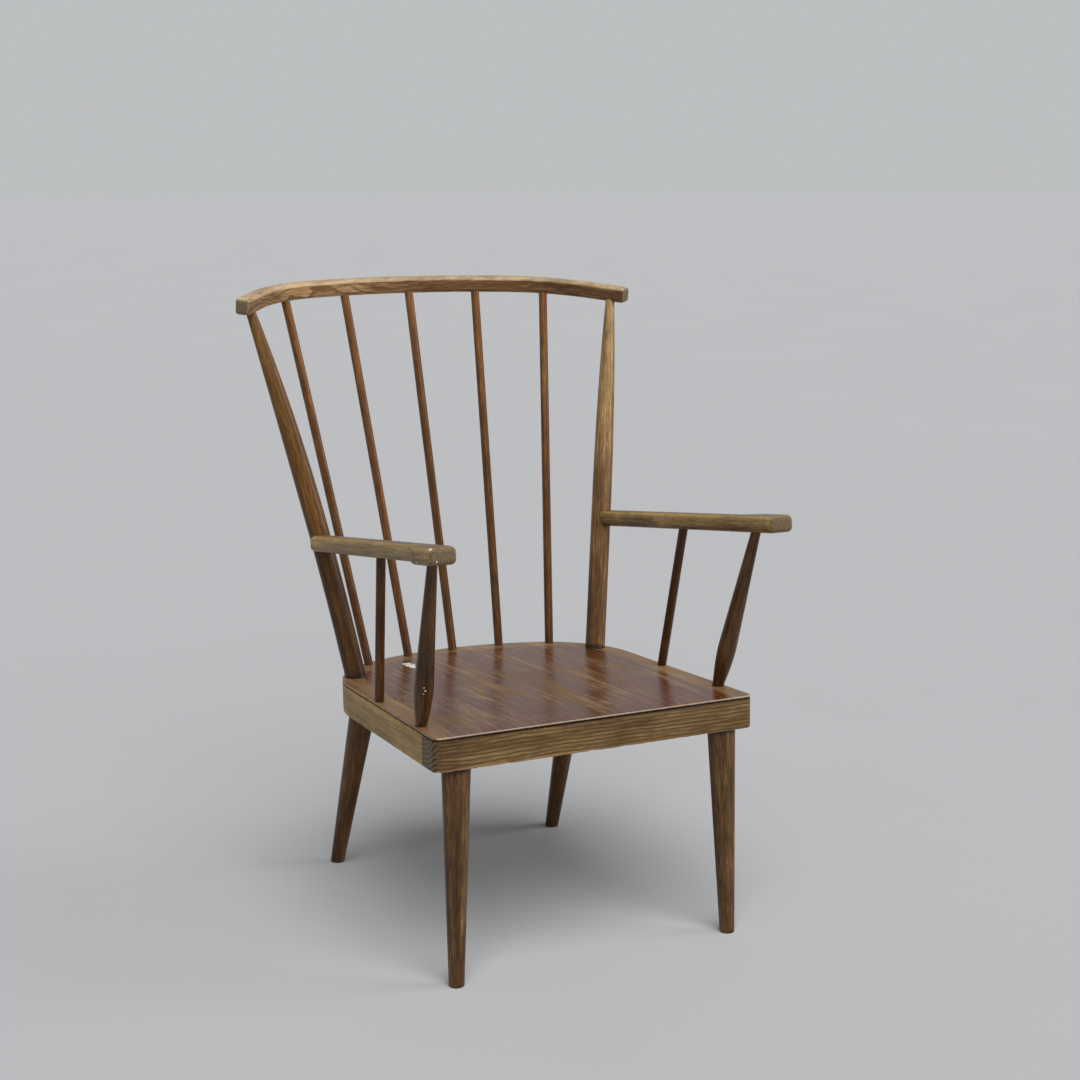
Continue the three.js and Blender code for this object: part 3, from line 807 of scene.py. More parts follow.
def slice_up(bm: bmesh.types.BMesh, axis: int, low: float, high: float, count: int) -> None:
    """Cuts every face across an axis into equal stretches.

    Args:
        bm: The mesh to cut.
        axis: Number of the axis.
        low: Where the first stretch starts.
        high: Where the last one ends.
        count: How many stretches there are.
    """
    normal = Vector((0.0, 0.0, 0.0))
    normal[axis] = 1.0
    for step in range(1, count):
        geom = bm.verts[:] + bm.edges[:] + bm.faces[:]
        place = normal * (low + (high - low) * step / count)
        bmesh.ops.bisect_plane(bm, geom=geom, dist=1e-6, plane_co=place, plane_no=normal)


def slice_box(bm: bmesh.types.BMesh, half: Vector, counts: tuple[int, int, int]) -> None:
    """Cuts a box of that half size about the origin into as many stretches as counts says for each axis."""
    for axis, count in enumerate(counts):
        slice_up(bm, axis, -half[axis], half[axis], count)


def rod(width: Callable[[float], float], start: float, end: float, steps: int) -> Profile:
    """Draws the profile of a turned rod.

    Args:
        width: Gives its radius at a height.
        start: Height of its lower end.
        end: Height of its upper end.
        steps: Stretches between the ends.

    Returns:
        The (radius, height) points, the first and last on the axis.
    """
    heights = [start + (end - start) * step / steps for step in range(steps + 1)]
    return [(0.0, start), *((width(height), height) for height in heights), (0.0, end)]


def sharp_edges(bm: bmesh.types.BMesh, angle: float = 1.0) -> list[bmesh.types.BMEdge]:
    """Returns the edges whose faces meet at more than that angle in radians."""
    return [e for e in bm.edges if e.calc_face_angle(0.0) > angle]


def ease(bm: bmesh.types.BMesh, edges: list[bmesh.types.BMEdge], radius: float, segments: int) -> None:
    """Rounds those edges to a radius, in that many segments."""
    bmesh.ops.bevel(
        bm, geom=edges, offset=radius, offset_type="OFFSET", segments=segments, profile=0.5,
        affect="EDGES", material=-1, clamp_overlap=True)


def arc(centre: Plan, radius: float, start: float, turn: float, steps: int) -> list[Plan]:
    """Returns the points of an arc in plan, both ends included, angles in radians from +x."""
    angles = [start + turn * step / steps for step in range(steps + 1)]
    return [(centre[0] + radius * math.cos(a), centre[1] + radius * math.sin(a)) for a in angles]


def along_axis(start: Vector, end: Vector) -> Matrix:
    """Returns the move that takes the origin to start and +z towards end."""
    turn = (end - start).to_track_quat("Z", "Y").to_matrix().to_4x4()
    return Matrix.Translation(start) @ turn


class Workpiece:
    """A mesh on its way from a straight blank to a finished piece of the chair.

    Attributes:
        SMOOTH_ANGLE: Edges whose faces meet at less than this, in radians, are shaded smooth.
        END_FROM: How far a surface faces along the grain where it starts to look cut across.
        END_SPAN: How much further it faces along the grain where it looks wholly cut across.
        LEAST_RUB: Share of the rubbing that a surface gets where no edge is marked.
        GRAIN_STEP: Length along the grain by which a step of the seed moves the figure, in metres.
    """

    SMOOTH_ANGLE = 0.7
    END_FROM = 0.3
    END_SPAN = 0.55
    LEAST_RUB = 0.2
    GRAIN_STEP = 1.83

    def __init__(self, bm: bmesh.types.BMesh, seed: float) -> None:
        """Takes a straight blank; the seed gives the piece its own figure."""
        self.bm = bm
        self.seed = seed
        self.grain = bm.verts.layers.float_vector.new(Mark.GRAIN.value)
        self.edge = bm.verts.layers.float.new(Mark.EDGE.value)
        # Layer of grime and painted contact shade in the joints and gaps.
        self.dirt = bm.verts.layers.float.new(Mark.GRIME_AND_SHADE.value)
        self.end = bm.verts.layers.float.new(Mark.END.value)
        self.wear = bm.verts.layers.float.new(Mark.WEAR.value)

    def mark_grain(self, order: tuple[int, int, int] = (0, 1, 2)) -> None:
        """Keeps each point's place in the timber.

        Args:
            order: Numbers of the two axes across the grain and of the one along it.
        """
        shift = Vector((0.0, 0.0, self.GRAIN_STEP * self.seed))
        for vert in self.bm.verts:
            vert[self.grain] = Vector(vert.co[axis] for axis in order) + shift

    def mark_edges(self, nearness: Callable[[Vector], float]) -> None:
        """Keeps how near each point is to a rubbed edge, from 0 to 1."""
        for vert in self.bm.verts:
            vert[self.edge] = clamped(nearness(vert.co))

    def mark_grime_and_shade(self, held: Callable[[Vector], float]) -> None:
        """Keeps how much grime and painted contact shade each point gets, from 0 to 1."""
        for vert in self.bm.verts:
            vert[self.dirt] = clamped(held(vert.co))

    def mark_wear(self, worn: Callable[[Vector], float]) -> None:
        """Keeps how much more, or below zero less, each point is worn than the rest of its piece."""
        for vert in self.bm.verts:
            vert[self.wear] = worn(vert.co)

    def mark_ends(self, axis: int) -> None:
        """Keeps how far each point's surface is cut across the grain.

        Args:
            axis: Number of the axis that the grain runs along.
        """
        self.bm.normal_update()
        for vert in self.bm.verts:
            share = (abs(vert.normal[axis]) - self.END_FROM) / self.END_SPAN
            vert[self.end] = eased(clamped(share))

    def rub(self, depth: float, size: float) -> None:
        """Wears the surface unevenly, most along the marked edges.

        Args:
            depth: Deepest wear in metres.
            size: Length of one uneven stretch in metres.
        """
        self.bm.normal_update()
        moves = []
        for vert in self.bm.verts:
            rough = 0.5 + 0.5 * smooth_noise(vert[self.grain], size, self.seed)
            share = self.LEAST_RUB + (1 - self.LEAST_RUB) * vert[self.edge]
            moves.append(vert.normal * (-depth * share * rough * rough))
        for vert, move in zip(self.bm.verts, moves):
            vert.co += move

    def bend(self, place: Callable[[Vector], Vector]) -> None:
        """Moves every point of the straight blank to its place in the chair.

        Args:
            place: Gives a point's place in the shared frame from its place in the blank.
        """
        for vert in self.bm.verts:
            vert.co = place(vert.co.copy())
        bmesh.ops.recalc_face_normals(self.bm, faces=self.bm.faces[:])

    def move(self, matrix: Matrix) -> None:
        """Moves the whole piece without bending it."""
        bmesh.ops.transform(self.bm, matrix=matrix, verts=self.bm.verts[:])

    def saw(self, point: Vector, normal: Vector) -> list[bmesh.types.BMEdge]:
        """Cuts off what lies on the normal's side of a plane.

        Args:
            point: A point of the plane.
            normal: The plane's normal, towards the waste.

        Returns:
            The edges of the new cut face.
        """
        geom = self.bm.verts[:] + self.bm.edges[:] + self.bm.faces[:]
        cut = bmesh.ops.bisect_plane(self.bm, geom=geom, plane_co=point, plane_no=normal, clear_outer=True)
        rim = [e for e in cut["geom_cut"] if isinstance(e, bmesh.types.BMEdge)]
        bmesh.ops.holes_fill(self.bm, edges=rim, sides=0)
        bmesh.ops.recalc_face_normals(self.bm, faces=self.bm.faces[:])
        return rim

    def finish(self, node: str, slot: str, finish: TimberFinish) -> None:
        """Makes the object, dresses it and sets it in the chair.

        Args:
            node: The CAD node that the piece stands for.
            slot: The record's material slot; it is not used.
            finish: The look of its timber.
        """
        for edge in self.bm.edges:
            edge.smooth = edge.calc_face_angle(0.0) < self.SMOOTH_ANGLE
        for face in self.bm.faces:
            face.smooth = True
        mesh = bpy.data.meshes.new(f"worn_{node}")
        self.bm.to_mesh(mesh)
        self.bm.free()
        piece = bpy.data.objects.new(f"worn_{node}", mesh)
        bpy.context.scene.collection.objects.link(piece)
        mesh.materials.append(finish.material())
        shading = piece.modifiers.new("even_shading", "WEIGHTED_NORMAL")
        shading.keep_sharp = True
        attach(piece, BODY)
        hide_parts(node)
        LOG.info("%s: %d faces", piece.name, len(mesh.polygons))


@dataclass
class SeatFrame:
    """The seat: a plywood panel on a straight front rail and one bent rail.

    Attributes:
        panel_thickness: Thickness of the panel.
        panel_edge: Radius of its rounded edges.
        panel_steps: Stretches of its side and back edges.
        panel_cells: Cells across the panel and from front to back.
        panel_arris: How far down its edge carries the rubbed wear and the painted highlight, as a multiple of
            that radius.
        panel_skin: Depth below its top face where the edge starts.
        panel_gap_shade: How dark its edge is below the rubbed part, a painted shade of the gap over the
            rails.
        side_rub: How rubbed its edge is away from the front.
        sat_on: Middle of the most used place, x and y on the seat.
        sat_reach: How far that place reaches.
        sat_wear: How much more worn it is than the rest.
        unsat_wear: How worn the rest is, below zero for less.
        rail_height: Height of both rails.
        rail_edge: Radius of their rounded edges.
        rail_cells: Cells of a rail along each axis.
        front_depth: Depth of the front rail.
        front_rub: How far up the front rail its lower edge is rubbed.
        front_rub_sides: How rubbed that edge is on the left and on the right.
        front_gap_shade: How far down from the panel the front rail carries painted shade from the gap.
        chip_rise: How far up the front rail its chips reach.
        chip_face: How far behind its face they reach.
        chip_depth: Depth of a chip.
        chip_length: Length of a chip.
        chip_level: Noise level above which the edge is chipped; lower chips more.
        splinter_depth: Depth of the fine splinters between the chips.
        splinter_length: Length of a splinter.
        chip_side: The x up to which the edge is most chipped.
        chip_rest: Share of the chips past that x.
        bent_width: Width of the bent rail.
        bent_rub: How far from its edges the bent rail is rubbed.
        bent_joint_shade: How far from the panel and the front rail it carries painted shade in the joints.
        gap: Gap between the pieces.
        panel_finish: Look of the panel.
        front_finish: Look of the front rail.
        bent_finish: Look of the bent rail.
    """

    panel_thickness: float = 4.4 * MM
    panel_edge: float = 1.6 * MM
    panel_steps: int = 130
    panel_cells: tuple[int, int] = (66, 68)
    panel_arris: float = 1.25
    panel_skin: float = 0.05 * MM
    panel_gap_shade: float = 0.75
    side_rub: float = 0.62
    sat_on: Vector = field(default_factory=lambda: Vector((0.01, 0.2)))
    sat_reach: float = 150 * MM
    sat_wear: float = 1.4
    unsat_wear: float = -0.5
    rail_height: float = 45.3 * MM
    rail_edge: float = 1.6 * MM
    rail_cells: tuple[int, int, int] = (260, 1, 8)
    front_depth: float = 48 * MM
    front_rub: float = 8 * MM
    front_rub_sides: tuple[float, float] = (1.15, 0.7)
    front_gap_shade: float = 2.4 * MM
    chip_rise: float = 4 * MM
    chip_face: float = 6 * MM
    chip_depth: float = 2.2 * MM
    chip_length: float = 9 * MM
    chip_level: float = 0.05
    splinter_depth: float = 0.7 * MM
    splinter_length: float = 3 * MM
    chip_side: float = 20 * MM
    chip_rest: float = 0.45
    bent_width: float = 46 * MM
    bent_rub: float = 5 * MM
    bent_joint_shade: float = 1.6 * MM
    gap: float = 0.3 * MM
    panel_finish: PanelFinish = PanelFinish(
        name="scratched_panel", dark=(70, 34, 12), mid=(86, 46, 18), light=(104, 63, 28), worn=(122, 91, 44),
        patch_level=0.52, patch_share=0.5, edge_share=0.5, roughness=(0.26, 0.5), coat=0.0,
        spots=PaintSpots((
            PaintSpot((-0.1075, 0.1300, 0.3510), 8.5 * MM), PaintSpot((-0.1075, 0.1170, 0.3515), 9.2 * MM),
            PaintSpot((-0.1085, 0.1050, 0.3520), 7.6 * MM))))
    front_finish: TimberFinish = TimberFinish(
        name="front_rail_timber",
        dark=(82, 58, 31), mid=(118, 93, 56), light=(144, 119, 80), worn=(169, 132, 97),
        rings=1.0, ring_gap=5.6 * MM, ring_lean=1.35, ring_wander=2.2, ring_sway=0.11,
        patch_level=0.66, patch_share=0.4, edge_share=0.75, flecks=0.5, roughness=(0.45, 0.65), coat=0.05,
        end=EndGrain(
            dark=(52, 38, 26), light=(112, 88, 58), pith=(0.020, 0.050), ring=6.5 * MM, ring_share=0.3))
    bent_finish: TimberFinish = TimberFinish(
        name="bent_rail_timber",
        dark=(127, 101, 58), mid=(172, 142, 85), light=(202, 169, 110), worn=(241, 182, 101),
        rings=0.35, ring_gap=4 * MM, patch_level=0.7, patch_share=0.35, edge_share=0.6, flecks=0.6,
        roughness=(0.48, 0.66), coat=0.0)

    def rail_middle(self) -> float:
        """Returns the height of the rails' middle over the seat's top face."""
        return -self.panel_thickness - self.gap - self.rail_height / 2

    def build(self) -> None:
        """Builds the panel and both rails."""
        self.build_panel()
        self.build_front_rail()
        self.build_bent_rail()

    def build_panel(self) -> None:
        """Builds the panel with rounded edges, cut into cells that tell its rim from its middle."""
        radius, lean = OUTLINE.front_radius, OUTLINE.lean()
        corner = (OUTLINE.side_x(radius, radius), radius)
        front = radius * (1 + math.sin(lean))
        length = OUTLINE.half_length(front)
        steps = self.panel_steps
        points = arc((-corner[0], radius), radius, math.pi - lean, math.pi / 2 + lean, steps=8)
        points += arc(corner, radius, 1.5 * math.pi, math.pi / 2 + lean, steps=8)
        points += [OUTLINE.at(length * (1 - 2 * step / steps), 0.0, front) for step in range(1, steps)]
        bm = plate(points, -self.panel_thickness, 0.0)
        ease(bm, sharp_edges(bm), self.panel_edge, segments=3)
        slice_up(bm, 0, -OUTLINE.half_width, OUTLINE.half_width, self.panel_cells[0])
        slice_up(bm, 1, 0.0, OUTLINE.back, self.panel_cells[1])
        rim = bm.verts.layers.float.new(Mark.RIM.value)
        for vert in bm.verts:
            vert[rim] = OUTLINE.rim(vert.co.x, vert.co.y)
        piece = Workpiece(bm, seed=1.0)
        piece.mark_grain((0, 2, 1))
        arris = -self.panel_arris * self.panel_edge

        def nearness(co: Vector) -> float:
            """Returns the mark of the rounded top edge: a painted highlight along the front, rubbed wear on
            the sides.
            """
            if not arris < co.z < -self.panel_skin:
                return 0.0
            return 1.0 if co.y < 2 * self.panel_edge else self.side_rub

        def worn(co: Vector) -> float:
            """Returns the wear, which fades out from the most used place."""
            away = (co.xy - self.sat_on).length_squared / self.sat_reach ** 2
            return self.sat_wear * math.exp(-away) + self.unsat_wear

        piece.mark_edges(nearness)
        piece.mark_wear(worn)
        # Painted gap shade on the panel's edge below its rounded top.
        piece.mark_grime_and_shade(lambda co: self.panel_gap_shade if co.z < arris else 0.0)
        piece.rub(depth=0.5 * MM, size=60 * MM)
        piece.move(SEAT.matrix())
        piece.finish("seat_panel", "panel", self.panel_finish)

    def build_front_rail(self) -> None:
        """Builds the front rail with its round corners and its chipped lower edge."""
        size = Vector((2 * OUTLINE.half_width, self.front_depth, self.rail_height))
        bm = block(size)
        half = size / 2
        uprights = [e for e in bm.edges if e.verts[0].co.y < 0 and e.verts[1].co.y < 0
                    and e.verts[0].co.x == e.verts[1].co.x]
        ease(bm, uprights, OUTLINE.front_radius, segments=8)
        ease(bm, sharp_edges(bm), self.rail_edge, segments=2)
        slice_box(bm, half, self.rail_cells)
        piece = Workpiece(bm, seed=2.0)
        piece.mark_grain((1, 2, 0))
        piece.mark_ends(0)

        def nearness(co: Vector) -> float:
            """Returns how near a point is to the lower edge, which is chipped most on the left."""
            left, right = self.front_rub_sides
            return (1.0 - (half.z + co.z) / self.front_rub) * (left if co.x < 0.0 else right)

        piece.mark_edges(nearness)
        # Painted shade along the rail's top, in the gap under the panel.
        piece.mark_grime_and_shade(lambda co: 1.0 - (half.z - co.z) / self.front_gap_shade)
        for vert in bm.verts:
            low = 1.0 - (half.z + vert.co.z) / self.chip_rise
            if low > 0.0 and vert.co.y < -half.y + self.chip_face:
                vert.co.z += low * self.chip(vert.co.x)
        piece.rub(depth=0.5 * MM, size=30 * MM)
        middle = self.rail_middle()

        def place(co: Vector) -> Vector:
            """Moves a point of the blank to its place under the panel."""
            y = co.y + half.y
            x = co.x * (OUTLINE.half_width - OUTLINE.taper * y) / OUTLINE.half_width
            return SEAT.point(x, y, co.z + middle)

        piece.bend(place)
        piece.finish("front_rail", "rail", self.front_finish)

    def chip(self, x: float) -> float:
        """Measures how deep the front rail's lower edge is chipped.

        Args:
            x: The place along the rail.

        Returns:
            The depth in metres.
        """
        along = Vector((x, 0.0, 0.0))
        bite = max(0.0, smooth_noise(along, self.chip_length, seed=4.0) - self.chip_level)
        fine = max(0.0, smooth_noise(along, self.splinter_length, seed=9.0))
        share = 1.0 if x < self.chip_side else self.chip_rest
        return share * (self.chip_depth * bite + self.splinter_depth * fine)

    def build_bent_rail(self) -> None:
        """Builds the rail that bends round both sides and the back."""
        front = self.front_depth + self.gap
        length = OUTLINE.half_length(front)
        size = Vector((2 * length, self.bent_width, self.rail_height))
        bm = block(size)
        half = size / 2
        ease(bm, sharp_edges(bm), self.rail_edge, segments=2)
        slice_box(bm, half, self.rail_cells)
        piece = Workpiece(bm, seed=3.0)
        piece.mark_grain((1, 2, 0))
        piece.mark_edges(lambda co: 1.0 - (half.z - abs(co.z)) / self.bent_rub if co.y < 0 else 0.0)
        # Painted shade along the rail's top under the panel and at its ends against the front rail.
        piece.mark_grime_and_shade(lambda co: 1.0 - min(half.z - co.z, half.x - abs(co.x)) / self.bent_joint_shade)
        piece.rub(depth=0.4 * MM, size=40 * MM)
        middle = self.rail_middle()

        def place(co: Vector) -> Vector:
            """Moves a point of the straight blank round the seat's edge."""
            x, y = OUTLINE.at(co.x, co.y + half.y, front)
            return SEAT.point(x, y, co.z + middle)

        piece.bend(place)
        piece.finish("bent_rail", "rail", self.bent_finish)


@dataclass
class CrestRail:
    """The bent bar along the top of the back: a shallow bow, two bends and straight ends.

    Attributes:
        centre_y: The y of its middle, behind the front rail's face.
        centre_z: Height of its middle.
        tilt: How far it leans, in radians.
        bow_radius: Radius of the bow.
        bend_radius: Radius of the bends.
        bend_start: Angle where a bend starts.
        bend_end: Angle where it ends.
        straight: Length of a straight end.
        depth: Its size from front to back.
        height: Its size upward.
        edge: Radius of its rounded edges.
        cells: Cells along each axis of the straight blank.
        end_round: How far from an end it starts to narrow.
        end_narrowing: How much it narrows there.
        rub: How far from its edges it is rubbed.
        top_rub_and_light: How pale its top face is: rubbed, with painted light from above.
        left_paleness: How much paler the left end is.
        paleness_fall: How much darker the right is.
        paleness_from: The station where the paleness starts to fall.
        paleness_run: Length in which it falls.
        timber: Its look.
    """

    centre_y: float = 701.7 * MM
    centre_z: float = 945.9 * MM
    tilt: float = math.radians(6.98)
    bow_radius: float = 811 * MM
    bend_radius: float = 208 * MM
    bend_start: float = math.radians(12.77)
    bend_end: float = math.radians(52.65)
    straight: float = 69.7 * MM
    depth: float = 24.5 * MM
    height: float = 26.2 * MM
    edge: float = 5 * MM
    cells: tuple[int, int, int] = (210, 5, 5)
    end_round: float = 8 * MM
    end_narrowing: float = 0.32
    rub: float = 6 * MM
    top_rub_and_light: float = 0.8
    left_paleness: float = 0.3
    paleness_fall: float = 0.9
    paleness_from: float = -0.2
    paleness_run: float = 0.3
    timber: TimberFinish = TimberFinish(
        name="crest_timber",
        dark=(103, 73, 43), mid=(151, 113, 72), light=(189, 148, 99), worn=(213, 186, 147),
        rings=0.8, ring_gap=6 * MM, ring_lean=0.9, ring_wander=12.0, ring_sway=0.2,
        patch_level=0.62, patch_share=0.5, edge_share=0.85, flecks=0.5, roughness=(0.42, 0.62), coat=0.08,
        end=EndGrain(
            dark=(60, 50, 36), light=(140, 124, 92), pith=(0.09, 0.002), ring=4.2 * MM, ring_share=0.18))

    def half_length(self) -> float:
        """Returns the distance along the bar from its middle to one end."""
        bend = self.bend_radius * (self.bend_end - self.bend_start)
        return self.bow_radius * self.bend_start + bend + self.straight

    def at(self, station: float, outward: float = 0.0, rise: float = 0.0) -> Vector:
        """Finds a place in the bar.

        Args:
            station: Distance along the bar from its middle, positive on the right.
            outward: Distance outward from its centre line.
            rise: Distance over its mid height.

        Returns:
            The point in the shared frame.
        """
        side, run = math.copysign(1.0, station), abs(station)
        bow = self.bow_radius * self.bend_start
        if run <= bow:
            angle, radius = run / self.bow_radius, self.bow_radius + outward
            flat = Vector((radius * math.sin(angle), radius * math.cos(angle) - self.bow_radius))
        else:
            pivot = Vector((math.sin(self.bend_start), math.cos(self.bend_start)))
            pivot = pivot * (self.bow_radius - self.bend_radius) - Vector((0.0, self.bow_radius))
            angle = min(self.bend_start + (run - bow) / self.bend_radius, self.bend_end)
            past = max(run - bow - self.bend_radius * (self.bend_end - self.bend_start), 0.0)
            radius = self.bend_radius + outward
            flat = pivot + Vector((math.sin(angle), math.cos(angle))) * radius
            flat += Vector((math.cos(angle), -math.sin(angle))) * past
        tilted = Matrix.Rotation(self.tilt, 3, "X") @ Vector((side * flat.x, flat.y, rise))
        return tilted + placed(0.0, self.centre_y, self.centre_z)

    def build(self) -> None:
        """Bends the bar from a straight blank with eased edges."""
        size = Vector((2 * self.half_length(), self.depth, self.height))
        bm = block(size)
        half = size / 2
        ease(bm, sharp_edges(bm), self.edge, segments=4)
        slice_box(bm, half, self.cells)
        piece = Workpiece(bm, seed=4.0)
        piece.mark_grain((1, 2, 0))
        piece.mark_ends(0)

        def nearness(co: Vector) -> float:
            """Returns how pale a point is near an edge or on the top face, where hands have rubbed it; on the
            top face it is also painted light from above.
            """
            gaps = sorted((half.x - abs(co.x), half.y - abs(co.y), half.z - abs(co.z)))
            # Painted light from above on the top face, over its rubbed wear.
            rubbed = self.top_rub_and_light if half.z - co.z < self.edge else 0.0
            return max(rubbed, 1.0 - gaps[1] / self.rub)

        def worn(co: Vector) -> float:
            """Returns the wear value, which makes the bar paler at the left end and darker towards the right.
            """
            return self.left_paleness - self.paleness_fall * clamped((co.x - self.paleness_from) / self.paleness_run)

        piece.mark_edges(nearness)
        # Paler at the left end, darker towards the right.
        piece.mark_wear(worn)
        piece.rub(depth=0.6 * MM, size=25 * MM)
        for vert in bm.verts:
            past = max(0.0, 1.0 - (half.x - abs(vert.co.x)) / self.end_round)
            narrow = math.sqrt(1.0 - self.end_narrowing * past * past)
            vert.co.y *= narrow
            vert.co.z *= narrow
        piece.bend(lambda co: self.at(co.x, co.y, co.z))
        piece.finish("crest_rail", "crest", self.timber)


CREST = CrestRail()


@dataclass
class Back:
    """The back's uprights: five thin spindles between two bent, tapered posts.

    Attributes:
        spindle_radius: Radius of a spindle.
        spindle_seats: Where the spindles stand on the seat, x and y, from the middle outward.
        spindle_stations: Where they meet the crest rail, along it from its middle.
        spindle_names: Their names, in the same order.
        spindle_wear: How worn a spindle is at the seat and at the crest rail; its rise towards the crest rail
            is partly painted light from above.
        post_seat: Where the right post stands on the seat, x and y.
        post_station: Where it meets the crest rail, along it from its middle.
        post_radius: Radius of the post's lower part.
        post_top_radius: Radius of its top.
        post_neck: Length of its top that isn't tapered.
        post_bow: How far the middle of the right post stands off a straight line.
        post_wear_and_light: How worn a post is at the seat and at the crest rail, before the limit; its rise
            towards the crest rail is partly painted light from above.
        post_wear_limit: The most that its wear may differ from the rest.
        taper_start: Share of its height where the taper starts.
        taper_power: How late in its height the taper falls.
        foot_gap: Gap between a post's foot and the seat.
        foot_edge: Radius of the foot's rounded rim.
        sink: How far a spindle reaches into the seat.
        grime_and_contact_shade: How far from a joint the grime and painted contact shade reach.
        post_grime_and_shade: How dark the grime and painted contact shade of a post are at its joints.
        spindle_finish: Look of the spindles.
        left_finish: Look of the left post.
        right_finish: Look of the right post.
    """

    spindle_radius: float = 7.1 * MM
    spindle_seats: tuple[Plan, ...] = ((0.0, 0.524), (0.0827, 0.5182), (0.1636, 0.4896))
    spindle_stations: tuple[float, ...] = (0.0, 0.1205, 0.241)
    spindle_names: tuple[str, ...] = ("middle", "inner", "outer")
    spindle_wear: tuple[float, float] = (-0.3, 0.8)
    post_seat: Plan = (0.2138, 0.4178)
    post_station: float = 364.5 * MM
    post_radius: float = 16.3 * MM
    post_top_radius: float = 7.9 * MM
    post_neck: float = 19 * MM
    post_bow: tuple[float, float, float] = (-5 * MM, -10 * MM, 0.0)
    post_wear_and_light: tuple[float, float] = (-1.1, 1.1)
    post_wear_limit: float = 0.9
    taper_start: float = 0.42
    taper_power: float = 2.1
    foot_gap: float = 0.3 * MM
    foot_edge: float = 0.8 * MM
    sink: float = 8 * MM
    grime_and_contact_shade: float = 4 * MM
    post_grime_and_shade: float = 0.9
    spindle_finish: TimberFinish = TimberFinish(
        name="spindle_timber", dark=(66, 39, 14), mid=(98, 61, 26), light=(130, 84, 37), worn=(168, 124, 59),
        rings=0.15, patch_level=0.66, patch_share=0.5, edge_share=0.0, flecks=0.5,
        roughness=(0.32, 0.5), coat=0.12)
    left_finish: TimberFinish = TimberFinish(
        name="left_post_timber",
        dark=(65, 39, 13), mid=(100, 66, 25), light=(127, 89, 36), worn=(152, 113, 53),
        rings=0.15, ring_gap=5 * MM, patch_level=0.58, patch_share=0.5, edge_share=0.3, flecks=0.8,
        roughness=(0.36, 0.52), coat=0.08)
    right_finish: TimberFinish = TimberFinish(
        name="right_post_timber",
        dark=(98, 68, 40), mid=(145, 110, 68), light=(176, 141, 94), worn=(202, 170, 118),
        rings=0.45, ring_gap=7 * MM, ring_wander=8.0, ring_sway=0.3,
        patch_level=0.54, patch_share=0.6, edge_share=0.3, flecks=0.6, roughness=(0.38, 0.54), coat=0.06)

    def build(self) -> None:
        """Builds the spindles, then the posts."""
        for index, name in enumerate(self.spindle_names):
            for side, word in ((-1.0, "left_"), (1.0, "right_")):
                if index == 0 and side > 0:
                    continue
                self.build_spindle(index, side, f"{word if index else ''}{name}_spindle")
        self.build_post(-1.0, "left_back_post", self.left_finish)
        self.build_post(1.0, "right_back_post", self.right_finish)

    def build_spindle(self, index: int, side: float, node: str) -> None:
        """Builds one spindle from its seat hole to the crest rail.

        Args:
            index: Its number from the middle outward.
            side: -1 for the left of the chair and 1 for the right.
            node: The CAD node that it stands for.
        """
        x, y = self.spindle_seats[index]
        foot = SEAT.point(side * x, y)
        top = CREST.at(side * self.spindle_stations[index])
        length = (top - foot).length
        profile = rod(lambda height: self.spindle_radius, -self.sink, length, steps=40)
        piece = Workpiece(spun(profile, sides=32), seed=10.0 + index + 0.5 * side)
        piece.mark_grain()
        under = length - CREST.height / 2
        # Grime and painted contact shade where the spindle meets the seat and the crest rail.
        piece.mark_grime_and_shade(lambda co: 1.0 - min(abs(co.z), abs(under - co.z)) / self.grime_and_contact_shade)
        # Paler towards the crest rail: partly wear, partly painted light from above.
        low, high = self.spindle_wear
        piece.mark_wear(lambda co: low + (high - low) * co.z / length)
        piece.rub(depth=0.35 * MM, size=18 * MM)
        piece.move(along_axis(foot, top))
        piece.finish(node, "turned", self.spindle_finish)

    def post_width(self, share: float) -> float:
        """Returns the post's radius at a share of its height up to the neck."""
        past = max(share - self.taper_start, 0.0) / (1.0 - self.taper_start)
        return self.post_radius - (self.post_radius - self.post_top_radius) * past ** self.taper_power

    def build_post(self, side: float, node: str, finish: TimberFinish) -> None:
        """Builds one bent post, its foot cut to the seat.

        Args:
            side: -1 for the left of the chair and 1 for the right.
            node: The CAD node that it stands for.
            finish: The look of its timber.
        """
        x, y = self.post_seat
        foot = SEAT.point(side * x, y)
        top = CREST.at(side * self.post_station)
        length = (top - foot).length
        tapered = length - self.post_neck
        steps = 60
        profile: Profile = [(0.0, -self.post_radius), (self.post_radius, -self.post_radius)]
        for step in range(steps + 1):
            share = step / steps
            profile.append((self.post_width(share), tapered * share))
        profile += [(self.post_top_radius, length), (0.0, length)]
        piece = Workpiece(spun(profile, sides=48), seed=20.0 + side)
        piece.mark_grain()
        under = length - CREST.height / 2
        # Grime and painted contact shade where the post meets the seat and the crest rail.
        piece.mark_grime_and_shade(lambda co: self.post_grime_and_shade - min(abs(co.z), abs(under - co.z)) / self.grime_and_contact_shade)
        # Paler towards the crest rail: partly wear, partly painted light from above.
        low, high = self.post_wear_and_light
        limit = self.post_wear_limit
        piece.mark_wear(lambda co: clamped(low + (high - low) * co.z / length, -limit, limit))
        piece.rub(depth=0.5 * MM, size=22 * MM)
        move = along_axis(foot, top)
        bow = Vector((side * self.post_bow[0], self.post_bow[1], self.post_bow[2]))

        def place(co: Vector) -> Vector:
            """Sets a point of the straight post along its axis and adds the bow."""
            share = clamped(co.z / tapered)
            return move @ co + bow * (4 * share * (1 - share))

        piece.bend(place)
        down = SEAT.point(0, 0, -1.0) - SEAT.point(0, 0, 0.0)
        rim = piece.saw(SEAT.point(0, 0, self.foot_gap), down)
        ease(piece.bm, rim, self.foot_edge, segments=2)
        piece.finish(node, "turned", finish)


